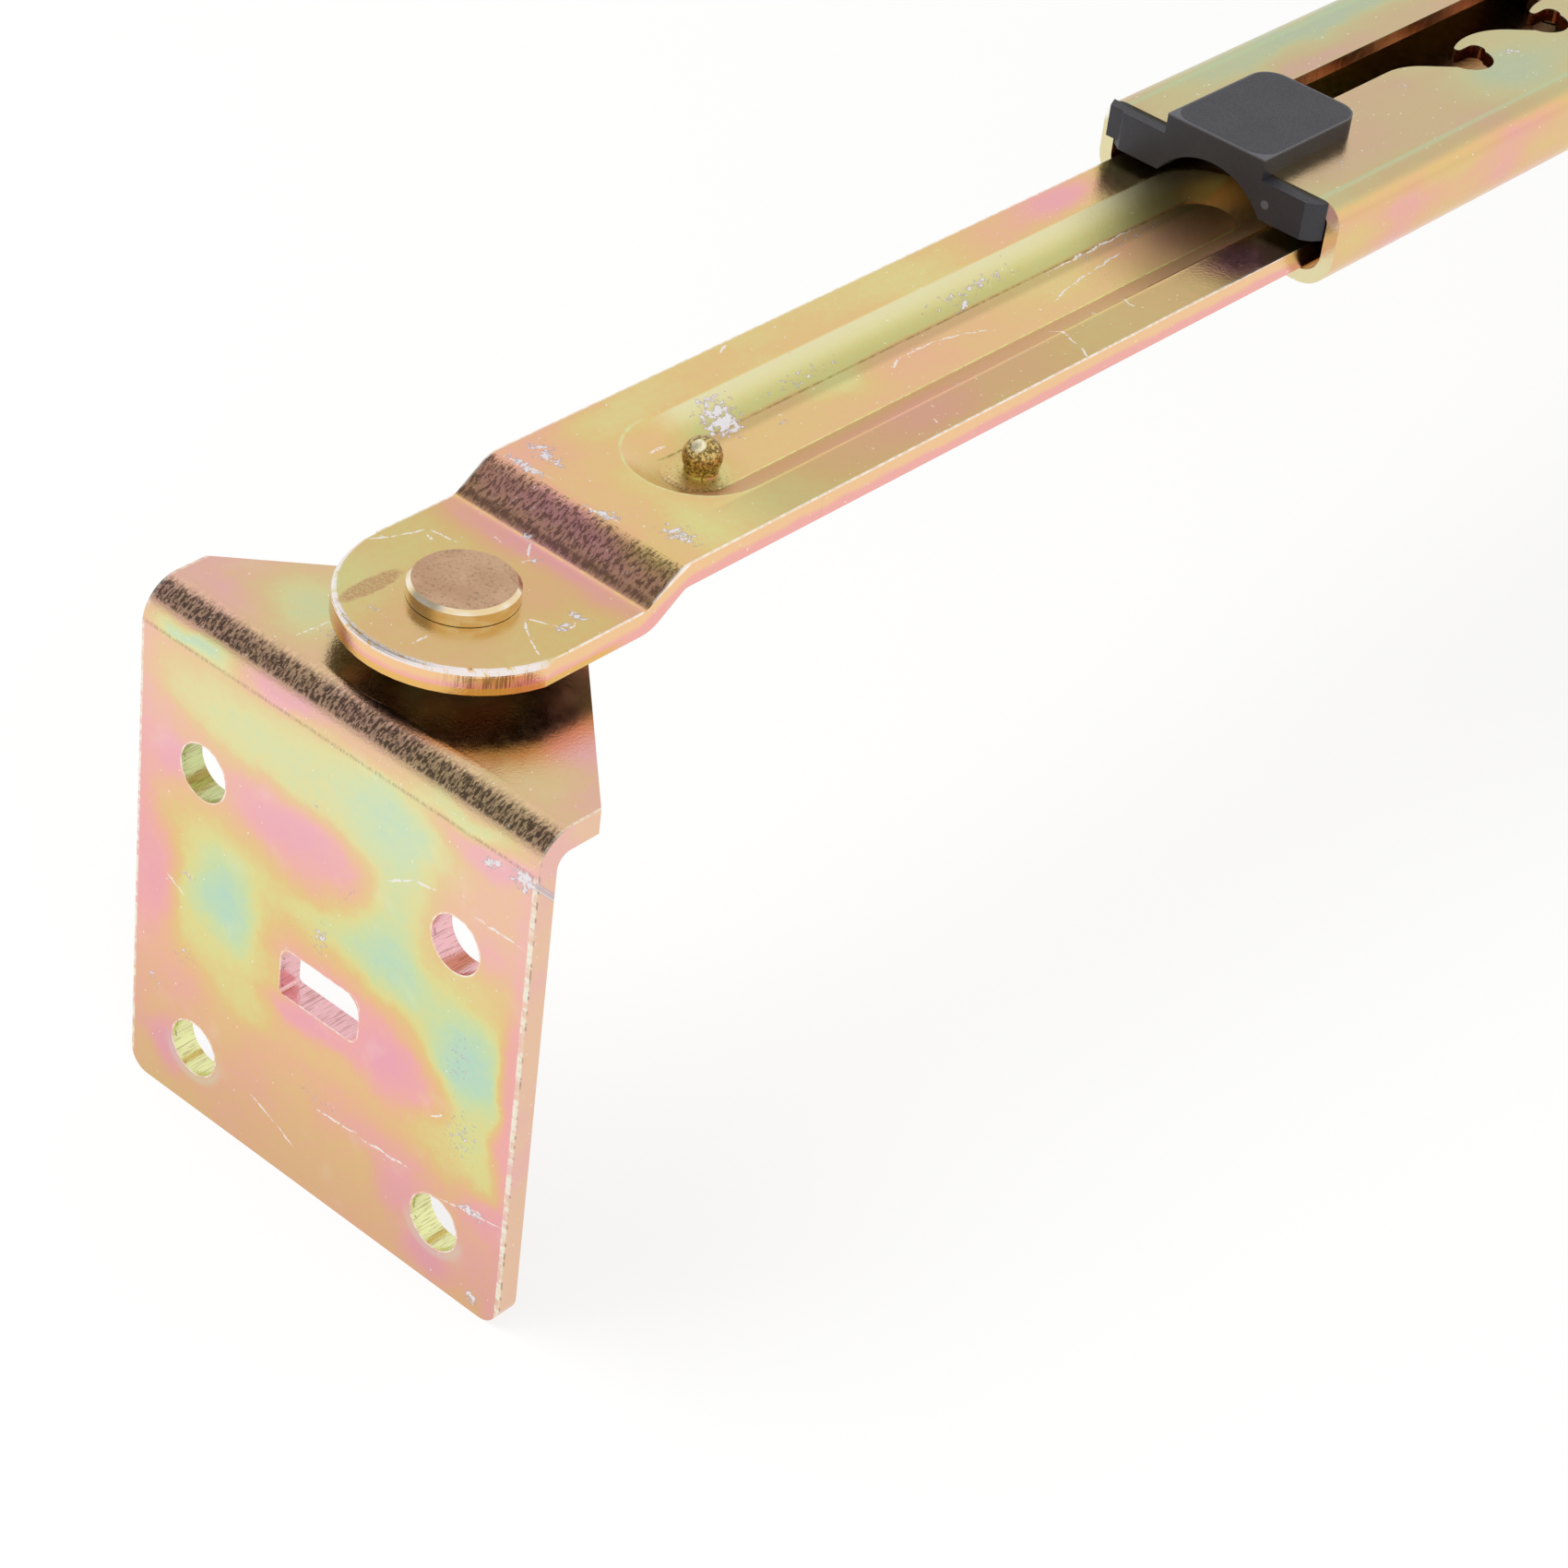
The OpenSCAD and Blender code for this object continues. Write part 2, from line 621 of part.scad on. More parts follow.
module end_guide() {
    foot = z_arm_top + guide_gap;
    soft = rail_top_r - rail_t;
    arch_r = (arch_w * arch_w / 4 + arch_rise * arch_rise) / (2 * arch_rise);
    bar_top = z_top - 0.2;
    nip = 0.75 * guide_proud;
    color([0.29, 0.29, 0.31]) difference() {
        union() {
            from_rivet(mouth_at, foot) linear_extrude(bar_top - foot) polygon([
                [-inner_half, 0], [inner_half, 0], [inner_half - 0.5 * nip, -0.6 * guide_proud],
                [inner_half - 1.3 * nip, -guide_proud], [1.3 * nip - inner_half, -guide_proud],
                [0.5 * nip - inner_half, -0.6 * guide_proud]]);
            from_rivet(mouth_at, z_web - 2.2) linear_extrude(bar_top - z_web + 2.2) polygon([
                [-inner_half - ear_reach, -0.05], [nip - inner_half, -0.05],
                [nip - inner_half, -0.8 * guide_proud],
                [-inner_half - 0.4 * ear_reach, -0.8 * guide_proud]]);
            from_rivet(mouth_at) along(guide_depth) polygon([
                [-inner_half, foot], [inner_half, foot], [inner_half, z_web - soft],
                [inner_half - soft, z_web], [soft - inner_half, z_web],
                [-inner_half, z_web - soft]]);
            from_rivet(mouth_at - guide_proud, bar_top) translate([tab_u - tab_w / 2, 0])
                cube([tab_w, guide_proud, z_top - bar_top + tab_t]);
            from_rivet(mouth_at - guide_proud, z_top) translate([tab_u, 0])
                linear_extrude(tab_t)
                round_far(tab_w, tab_reach + guide_proud, tab_corner_r);
            from_rivet(mouth_at + slot_start + 0.1, z_web)
                translate([lane_u - lane_w / 2 + 0.1, 0])
                cube([lane_w - 0.2, guide_depth - slot_start - 0.1, rail_t]);
        }
        from_rivet(mouth_at - guide_proud - over, foot + arch_rise - arch_r)
            rotate([-90, 0, 0]) cylinder(h = guide_proud + guide_depth + 2 * over, r = arch_r);
    }
}

module front_bracket() {
    color([0.87, 0.72, 0.53]) bracket();
}

module front_washer() {
    color([0.74, 0.7, 0.56]) washer();
}

module front_rivet() {
    color([0.66, 0.52, 0.39]) pivot_rivet(arm_t);
}

// Turns a piece of the front pivot end for end onto the rear pivot
module at_rear() {
    translate([0, 2 * rivet_reach + rear_at, 0]) rotate([0, 0, 180]) children();
}

module rear_washer() {
    color([0.74, 0.7, 0.56]) at_rear() washer();
}

module rear_rivet() {
    color([0.66, 0.52, 0.39]) at_rear() pivot_rivet(rail_t);
}

module rear_bracket() {
    color([0.87, 0.72, 0.53]) at_rear() bracket();
}

front_bracket();
front_washer();
front_rivet();
sliding_arm();
latch_pawl();
latch_pin();
pawl_rivet();
click_spring();
inner_slider();
rail();
end_guide();
rear_washer();
rear_rivet();
rear_bracket();
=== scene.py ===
import bpy
import math
from mathutils import Matrix, Vector


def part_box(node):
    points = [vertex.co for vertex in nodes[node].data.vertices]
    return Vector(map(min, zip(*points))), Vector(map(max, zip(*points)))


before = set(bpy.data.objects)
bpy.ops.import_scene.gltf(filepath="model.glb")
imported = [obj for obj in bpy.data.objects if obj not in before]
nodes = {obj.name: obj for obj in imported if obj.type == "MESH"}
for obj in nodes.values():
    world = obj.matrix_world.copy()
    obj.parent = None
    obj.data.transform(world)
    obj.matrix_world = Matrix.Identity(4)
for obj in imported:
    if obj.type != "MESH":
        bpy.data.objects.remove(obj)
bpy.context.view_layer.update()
print("frame loaded:", len(nodes), "nodes")

scene = bpy.context.scene
scene.view_settings.view_transform = "Standard"


def hexToLinear(hexColour):
    # sRGB hex to the linear numbers that shaders want
    parts = [int(hexColour[i:i + 2], 16) / 255 for i in (1, 3, 5)]
    return [p / 12.92 if p <= 0.04045 else ((p + 0.055) / 1.055) ** 2.4 for p in parts] + [1.0]


def addNode(tree, kind, settings=None, links=None):
    # settings go to a property or to an input socket, links to input sockets
    node = tree.nodes.new("ShaderNode" + kind)
    for key, value in (settings or {}).items():
        if isinstance(key, str) and hasattr(node, key):
            setattr(node, key, value)
        else:
            node.inputs[key].default_value = value
    for key, socket in (links or {}).items():
        tree.links.new(socket, node.inputs[key])
    return node


def plugs(parts):
    # sorts an input's number or hex colour from a socket that feeds it
    settings = {key: hexToLinear(part) if isinstance(part, str) else part
                for key, part in parts.items() if isinstance(part, (str, int, float))}
    return settings, {key: part for key, part in parts.items() if key not in settings}


cameraSettings = {
    "place": (0.215322, -0.216784, 0.251228),  # metres, from the photo's vanishing lines
    "forward": (-0.49213719, 0.64102563, -0.58897125),
    "up": (-0.4597872, 0.38309447, 0.80114565),
    "lens": 100.757,
    "sensor": 36.0,
}

forward = Vector(cameraSettings["forward"]).normalized()
right = forward.cross(Vector(cameraSettings["up"])).normalized()
up = right.cross(forward)
cameraData = bpy.data.cameras.new("photoCamera")
cameraData.lens = cameraSettings["lens"]
cameraData.sensor_width = cameraSettings["sensor"]
cameraData.clip_start = 0.01
camera = bpy.data.objects.new("photoCamera", cameraData)
scene.collection.objects.link(camera)
turn = Matrix((right, up, -forward)).transposed().to_4x4()
camera.matrix_world = Matrix.Translation(cameraSettings["place"]) @ turn
scene.camera = camera

# a white light tent: bare metal mirrors it, so its shades are what the zinc shows
tentSettings = {
    "white": "#FFFFFF",
    "tent": 1.0,        # how bright the tent shows in the metal
    "fill": 0.62,       # its light on matt surfaces
    "gapDirection": (-0.55, -0.42, 0.72),  # the opening for the lens, darker in the metal
    "gapInner": 0.95,   # cosine where the gap is darkest
    "gapOuter": 0.78,   # cosine where the tent is white again
    "gapShade": 0.42,
    "topDirection": (-0.49, 0.64, 0.59),  # the tent's back, a little greyer
    "topShade": 0.94,
}

world = bpy.data.worlds.new("whiteTent")
scene.world = world
world.use_nodes = True
tree = world.node_tree
tree.nodes.clear()
ray = addNode(tree, "LightPath")
direction = addNode(tree, "TexCoord")


def toward(aim, inner, outer):
    # 1 toward a direction of the tent, falling to 0 around it
    unit = Vector(aim).normalized()
    dot = addNode(tree, "VectorMath", {"operation": "DOT_PRODUCT", 1: tuple(unit)},
                  {0: direction.outputs["Generated"]})
    return addNode(tree, "MapRange", {"interpolation_type": "SMOOTHSTEP", "From Min": outer,
                                      "From Max": inner}, {"Value": dot.outputs["Value"]})


gap = toward(tentSettings["gapDirection"], tentSettings["gapInner"], tentSettings["gapOuter"])
back = toward(tentSettings["topDirection"], 0.97, 0.55)
backShade = addNode(tree, "MapRange", {"To Min": tentSettings["tent"],
                                       "To Max": tentSettings["topShade"]},
                    {"Value": back.outputs["Result"]})
tentShade = addNode(tree, "Mix", {"data_type": "FLOAT", 3: tentSettings["gapShade"]},
                    {0: gap.outputs["Result"], 2: backShade.outputs["Result"]})
mirrored = addNode(tree, "Mix", {"data_type": "FLOAT", 2: tentSettings["fill"]},
                   {0: ray.outputs["Is Glossy Ray"], 3: tentShade.outputs[0]})
shown = addNode(tree, "Mix", {"data_type": "FLOAT", 3: 1.0},
                {0: ray.outputs["Is Camera Ray"], 2: mirrored.outputs[0]})
sky = addNode(tree, "Background", {"Color": hexToLinear(tentSettings["white"])},
              {"Strength": shown.outputs[0]})
addNode(tree, "OutputWorld", {}, {"Surface": sky.outputs[0]})

lampSettings = {
    "softBox": {"place": (-0.35, -0.25, 0.75), "aim": (0.0, 0.06, 0.0), "size": 0.6, "power": 4.5},
    "sideBox": {"place": (0.6, -0.35, 0.4), "aim": (0.0, 0.06, 0.0), "size": 0.5, "power": 2.0},
}
for lampName, settings in lampSettings.items():
    lampData = bpy.data.lights.new(lampName, "AREA")
    lampData.energy = settings["power"]
    lampData.size = settings["size"]
    lamp = bpy.data.objects.new(lampName, lampData)
    lamp.visible_glossy = False  # the metal mirrors only the tent
    scene.collection.objects.link(lamp)
    aim = Vector(settings["aim"]) - Vector(settings["place"])
    lamp.matrix_world = (Matrix.Translation(settings["place"])
                         @ aim.to_track_quat("-Z", "Y").to_matrix().to_4x4())

floorSettings = {"height": -0.02312, "size": 6.0, "paper": "#F4F4F2", "glow": 0.78}
bpy.ops.object.select_all(action="DESELECT")
bpy.ops.mesh.primitive_plane_add(size=floorSettings["size"],
                                 location=(0, 0.1, floorSettings["height"]))
floor = bpy.context.object
floor.name = "floor"
paper = bpy.data.materials.new("paperFloor")  # matt white paper, faint shadow only
paper.use_nodes = True
tree = paper.node_tree
tree.nodes.clear()
ray = addNode(tree, "LightPath")
seen = addNode(tree, "Math", {"operation": "MAXIMUM"},
               {0: ray.outputs["Is Camera Ray"], 1: ray.outputs["Is Glossy Ray"]})
seen = addNode(tree, "Math", {"operation": "MAXIMUM"},
               {0: seen.outputs[0], 1: ray.outputs["Is Transmission Ray"]})
share = addNode(tree, "Math", {"operation": "MULTIPLY", 1: floorSettings["glow"]},
                {0: seen.outputs[0]})
matt = addNode(tree, "BsdfDiffuse", {"Color": hexToLinear(floorSettings["paper"])})
glow = addNode(tree, "Emission", {"Color": hexToLinear("#FFFFFF"), "Strength": 1.0})
mixed = addNode(tree, "MixShader", {}, {0: share.outputs[0], 1: matt.outputs[0],
                                        2: glow.outputs[0]})
addNode(tree, "OutputMaterial", {}, {"Surface": mixed.outputs[0]})
floor.data.materials.append(paper)
print("camera, light and floor ready")


def startMaterial(name):
    material = bpy.data.materials.new(name)
    material.use_nodes = True
    material.node_tree.nodes.clear()
    return material, material.node_tree


def millimetres(tree, turnedAt=None):
    # object coordinates in mm; a rear piece is read from its own end
    place = addNode(tree, "TexCoord")
    source = place.outputs["Object"]
    if turnedAt is not None:
        source = addNode(tree, "Mapping", {"Location": (0, turnedAt, 0),
                                           "Rotation": (0, 0, math.pi)},
                         {"Vector": source}).outputs["Vector"]
    return addNode(tree, "VectorMath", {"operation": "SCALE", "Scale": 1000.0},
                   {0: source}).outputs[0]


def axes(tree, vector):
    split = addNode(tree, "SeparateXYZ", {}, {0: vector})
    return split.outputs[0], split.outputs[1], split.outputs[2]


def sheetMap(tree, across, along):
    # the sheet laid flat: a plane of mm that patches and scratches are placed on
    return addNode(tree, "CombineXYZ", {}, {0: across, 1: along}).outputs[0]


def grain(tree, coords, size, detail=2.0, stretch=(1, 1, 1), shift=(0, 0, 0), rough=0.5):
    # noise whose lumps are size mm across, longer along an axis with a stretch above 1
    squeeze = tuple(1 / (size * s) for s in stretch)
    moved = addNode(tree, "Mapping", {"Location": shift, "Scale": squeeze}, {"Vector": coords})
    return addNode(tree, "TexNoise", {"Scale": 1.0, "Detail": detail, "Roughness": rough},
                   {"Vector": moved.outputs["Vector"]}).outputs["Fac"]


def warp(tree, coords, size, reach):
    # shifts coordinates by noise, so that drawn outlines wander as real ones do
    noise = addNode(tree, "TexNoise", {"Scale": 1 / size, "Detail": 3.0}, {"Vector": coords})
    noise = addNode(tree, "VectorMath", {"operation": "SUBTRACT", 1: (0.5, 0.5, 0.5)},
                    {0: noise.outputs["Color"]})
    noise = addNode(tree, "VectorMath", {"operation": "SCALE", "Scale": 2 * reach},
                    {0: noise.outputs[0]})
    return addNode(tree, "VectorMath", {"operation": "ADD"},
                   {0: coords, 1: noise.outputs[0]}).outputs[0]


def span(tree, value, low, high, toLow=0.0, toHigh=1.0, smooth=True):
    kind = "SMOOTHSTEP" if smooth else "LINEAR"
    return addNode(tree, "MapRange", {"interpolation_type": kind, "From Min": low,
                                      "From Max": high, "To Min": toLow, "To Max": toHigh},
                   {"Value": value}).outputs["Result"]


def calc(tree, operation, *parts):
    # folds several numbers or sockets with one operation
    result = parts[0]
    for rest in [{1: part} for part in parts[1:]] or [{}]:
        settings, links = plugs({0: result, **rest})
        result = addNode(tree, "Math", {"operation": operation, **settings}, links).outputs[0]
    return result


def band(tree, value, low, high, soft=0.1):
    # 1 between two limits
    return calc(tree, "MULTIPLY", span(tree, value, low - soft, low + soft),
                span(tree, value, high + soft, high - soft))


def distance(tree, across, along):
    offset = sheetMap(tree, across, along)
    return addNode(tree, "VectorMath", {"operation": "LENGTH"}, {0: offset}).outputs["Value"]


def roundedAway(tree, places, centre, halves, corner):
    # distance that reaches corner on a rectangle with corners of that radius
    inset = [calc(tree, "MAXIMUM", calc(tree, "ADD", calc(tree, "ABSOLUTE", calc(
        tree, "ADD", place, -middle)), corner - half), 0.0)
        for place, middle, half in zip(places, centre, halves)]
    return distance(tree, *inset)


def ovalAway(tree, flat, centre, radii, turned):
    # distance from an oval's centre, 1 on the oval itself
    if turned:
        flat = addNode(tree, "VectorRotate", {"rotation_type": "Z_AXIS", "Center": (*centre, 0),
                                              "Angle": -math.radians(turned)},
                       {"Vector": flat}).outputs[0]
    local = addNode(tree, "VectorMath", {"operation": "MULTIPLY_ADD",
                                         1: (1 / radii[0], 1 / radii[1], 0),
                                         2: (-centre[0] / radii[0], -centre[1] / radii[1], 0)},
                    {0: flat})
    return addNode(tree, "VectorMath", {"operation": "LENGTH"},
                   {0: local.outputs[0]}).outputs["Value"]


def spot(tree, flat, centre, radii, turned=0.0, core=0.15, rim=1.45, depth=1.0):
    # oval spot on the sheet: its depth at the core, 0 past its rim
    return span(tree, ovalAway(tree, flat, centre, radii, turned), core, rim, depth, 0.0)


def scratches(tree, flat, marks, width):
    # hairlines from one end to the other, tapered and broken as a dragged edge leaves them
    loose = warp(tree, flat, 1.6, 0.35)
    pastEnds, clear = 1.06, 2.0
    lines = []
    for startAcross, startAlong, endAcross, endAlong in marks:
        run, rise = endAcross - startAcross, endAlong - startAlong
        centre = (startAcross + endAcross) / 2, (startAlong + endAlong) / 2
        radii = math.hypot(run, rise) / 2 * pastEnds, width
        lines.append(ovalAway(tree, loose, centre, radii, math.degrees(math.atan2(rise, run))))
    line = span(tree, calc(tree, "MINIMUM", clear, *lines), 0.6, 1.0, 1.0, 0.0)
    return calc(tree, "MULTIPLY", line, span(tree, grain(tree, flat, 0.5, 3.0), 0.38, 0.5))


def settle(tree, base, value, mask):
    # moves a number toward value where the mask is 1
    settings, links = plugs({0: mask, 2: base, 3: value})
    return addNode(tree, "Mix", {"data_type": "FLOAT", **settings}, links).outputs[0]


def tint(tree, base, colour, mask, share=1.0):
    if share != 1.0:
        mask = calc(tree, "MULTIPLY", mask, share)
    settings, links = plugs({0: mask, 6: base, 7: colour})
    return addNode(tree, "Mix", {"data_type": "RGBA", **settings}, links).outputs[2]


def layFilm(tree, field, loose, patches):
    # moves the film's thickness toward each patch's own, one patch over the other
    for across, along, halfAcross, halfAlong, film, strength, *turned in patches:
        mask = spot(tree, loose, (across, along), (halfAcross, halfAlong), *turned, depth=strength)
        field = settle(tree, field, film, mask)
    return field


def facing(tree):
    # the object-space normal, to tell a sheet's face from its cut edge
    nx, ny, nz = axes(tree, addNode(tree, "TexCoord").outputs["Normal"])
    return (nx, ny, nz) + tuple(calc(tree, "ABSOLUTE", part) for part in (nx, ny, nz))


# yellow chromate film: its interference colours in the order that its thickness gives them
filmColours = [(0.0, "#EBA6B4"), (0.14, "#EFADA9"), (0.30, "#EBB98F"), (0.45, "#E5C484"),
               (0.60, "#DFD891"), (0.74, "#CDDCA6"), (0.87, "#BDDABB"), (1.0, "#B5D7CB")]


def filmRamp(tree, field):
    ramp = addNode(tree, "ValToRGB", {}, {"Fac": field})
    stops = ramp.color_ramp.elements
    while len(stops) < len(filmColours):
        stops.new(0.5)
    for stop, (at, colour) in zip(stops, filmColours):
        stop.position = at
        stop.color = hexToLinear(colour)
    return ramp.outputs["Color"]


def scuffed(tree, colour, flat, areas, size=0.55, stretch=(1, 1, 1)):
    # rubbed places: bare zinc shows silver, ringed by grey-violet film
    area = 0.0
    for across, along, halfAcross, halfAlong, turned, depth in areas:
        mark = spot(tree, flat, (across, along), (halfAcross, halfAlong), turned, 0.1, 1.3, depth)
        area = calc(tree, "MAXIMUM", area, mark)
    level = calc(tree, "ADD", grain(tree, flat, size, 5.0, stretch, rough=0.65),
                 calc(tree, "MULTIPLY", area, 0.33))
    dark = span(tree, level, 0.70, 0.75)
    bare = span(tree, level, 0.75, 0.79)
    colour = tint(tree, colour, "#A898A2", dark, 0.7)
    return tint(tree, colour, "#F1EDEF", bare, 0.9), bare


def flecked(tree, colour, coords, share):
    # tiny pale flecks where the film missed
    flecks = span(tree, grain(tree, coords, 0.42, 1.0, rough=0.3), 0.765, 0.79)
    return tint(tree, colour, "#F6F2E8", flecks, share)


def finishMetal(tree, colour, roughness, height, bumpStrength, bumpMm):
    bump = addNode(tree, "Bump", {"Strength": bumpStrength, "Distance": bumpMm / 1000},
                   {"Height": height})
    settings, links = plugs({"Metallic": 1.0, "Base Color": colour, "Roughness": roughness,
                             "Normal": bump.outputs["Normal"]})
    shader = addNode(tree, "BsdfPrincipled", settings, links)
    addNode(tree, "OutputMaterial", {}, {"Surface": shader.outputs[0]})


# brackets: pressed steel sheet, zinc plated and yellow chromated, which gives the eye a satin
# mirror under pastel rainbow clouds; the map runs up the plate and on over the fold
bracketSettings = {
    "filmLow": 0.26, "filmHigh": 0.40,
    # film patches: across, up, half width, half height, film 0 to 1, strength, turn
    "patches": [
        (-6, 24, 20, 4.8, 0.65, 1.0), (8, 23.5, 7, 6, 0.82, 1.0),
        (8.4, 15, 4.8, 8, 0.71, 1.0), (20, 22.6, 6, 5, 0.27, 0.9),
        (20, 27.5, 7, 2, 0.04, 0.9), (-24.4, 8, 3.0, 24, 0.10, 0.9),
        (-14, 12.4, 9, 3.6, 0.21, 0.9), (-5, 16, 10.5, 3.9, 0.03, 1.0),
        (-20.2, 16.5, 3, 3.6, 0.02, 0.9), (-18, 20, 5, 1.6, 0.24, 0.7),
        (-13.2, 3.4, 8.8, 10.4, 0.68, 1.0), (-12.4, 3.6, 3.8, 4.8, 0.90, 1.0),
        (0, 8, 7.5, 2.8, 0.64, 0.9), (9, 8.8, 8, 4.2, 0.86, 1.0, -10),
        (18.2, 3.4, 8.4, 10.6, 0.70, 1.0), (18.4, 4, 4.6, 4.6, 0.92, 1.0),
        (20, -4.6, 4.6, 6, 0.64, 0.9), (1.5, 2.6, 8, 2.0, 0.18, 1.0),
        (9.4, -1.6, 7.0, 4.4, 0.02, 1.0, -8), (-1, -3.6, 7, 1.7, 0.05, 1.0),
        (-21.8, 1, 3.0, 7.5, 0.03, 0.9), (24.3, 0, 1.9, 30, 0.10, 0.9),
        (18, 13.5, 6, 3, 0.52, 0.7), (20.2, 16.5, 2.8, 3.0, 0.14, 0.8),
        (-10, -6, 5, 2.8, 0.56, 0.9), (1, -6.6, 7, 1.8, 0.40, 0.8),
        (15.6, -7, 4, 2.6, 0.54, 0.8), (-18.5, -9, 4.6, 4.6, 0.18, 0.8),
        (-19, -17.4, 3.2, 3.8, 0.02, 0.9), (-22.6, -20.6, 2.4, 3, 0.42, 0.6),
        (11.6, -14.4, 3.6, 5, 0.08, 0.9), (15.5, -20.6, 4, 2.6, 0.03, 0.9),
        (21.4, -17, 3.6, 5, 0.15, 0.8), (0, -19.6, 10, 3.6, 0.36, 0.8),
        (7, -11.6, 7, 2.2, 0.16, 0.8), (22, -10.6, 3.4, 2.6, 0.06, 0.8),
        (-18, 29.6, 7, 1.3, 0.86, 0.9), (-7, 29.8, 6, 1.4, 0.06, 0.9),
        (4, 29.8, 6, 1.3, 0.32, 0.8), (16, 29.6, 7, 1.3, 0.70, 0.8),
        (-20, 36.8, 6, 2.4, 0.16, 0.9), (-12.6, 41.2, 6, 5.6, 0.66, 1.0),
        (-24, 39, 2.4, 7, 0.18, 0.9), (17, 38, 6, 3.4, 0.47, 0.9),
        (22.6, 40, 2.4, 4, 0.2, 0.8), (17, 45, 5, 3, 0.10, 0.9),
    ],
    # hairlines: from across, up to across, up
    "scratches": [
        (7.3, 17.9, 10.8, 19.8), (10.8, 19.8, 13.6, 20.3), (17.5, 20.2, 24, 20.2),
        (0, -12.8, 6, -12.2), (6, -12.4, 13, -11.9), (16, -12.9, 24.6, -11.0),
        (19, -11.8, 22, -11.2), (-8.5, -16.4, -4.6, -18), (-4.6, -18, -2, -19.2),
        (18.6, 26.2, 20.4, 27.6), (14.6, -4.4, 16.2, -3.2), (-10, 41, -10.4, 36.5),
        (-20.5, 2.2, -17.8, 1.0),
    ],
    "scuffs": [
        (23.2, 27.2, 2.2, 1.6, 25, 1.0), (19.4, 26.8, 2.0, 1.0, 30, 0.85),
        (20.4, -11.8, 2.6, 1.0, 8, 0.9), (21.4, -21.6, 1.2, 0.9, -30, 1.0),
        (-0.2, 6.6, 1.6, 2.6, 0, 0.62), (18.4, -4, 3.6, 4.4, 0, 0.52),
        (17.6, 4, 2.6, 4.5, 0, 0.45), (-17.5, -6, 2.4, 2.0, 0, 0.5),
        (-17.6, 3.4, 1.6, 1.2, 0, 0.5), (-21.5, -11, 2.4, 2.0, 0, 0.5),
        (3, 13.6, 1.6, 1.2, 30, 0.5), (-2, 20.6, 1.2, 0.8, 0, 0.45), (0, -11.6, 5, 0.8, 4, 0.5),
        (0, 6.9, 1.0, 1.2, 0, 0.8), (-9, 39.4, 1.4, 0.9, 20, 0.6),
    ],
    "hairWidth": 0.15, "slotCentre": (0, 0.3), "slotHalf": (5.05, 2.63), "slotCorner": 1.2,
    # mm: half the hole pitch, hole radius, half width, fold's depth and foot, flange's top, pivot
    "halfPitch": 16.0, "holeRadius": 2.9, "plateHalf": 24.5, "foldDepth": 4.0, "foldFoot": 27.8,
    "flangeTop": 31.8, "pivot": (0, 46.7),
    # the strained colour is partly real strain, partly painted shade; the outline colour is a
    # painted highlight
    "wall": "#EBB9AE", "shear": "#94604F", "strainAndShade": "#261A1C", "outlineHighlight": "#F2F3DF",
}


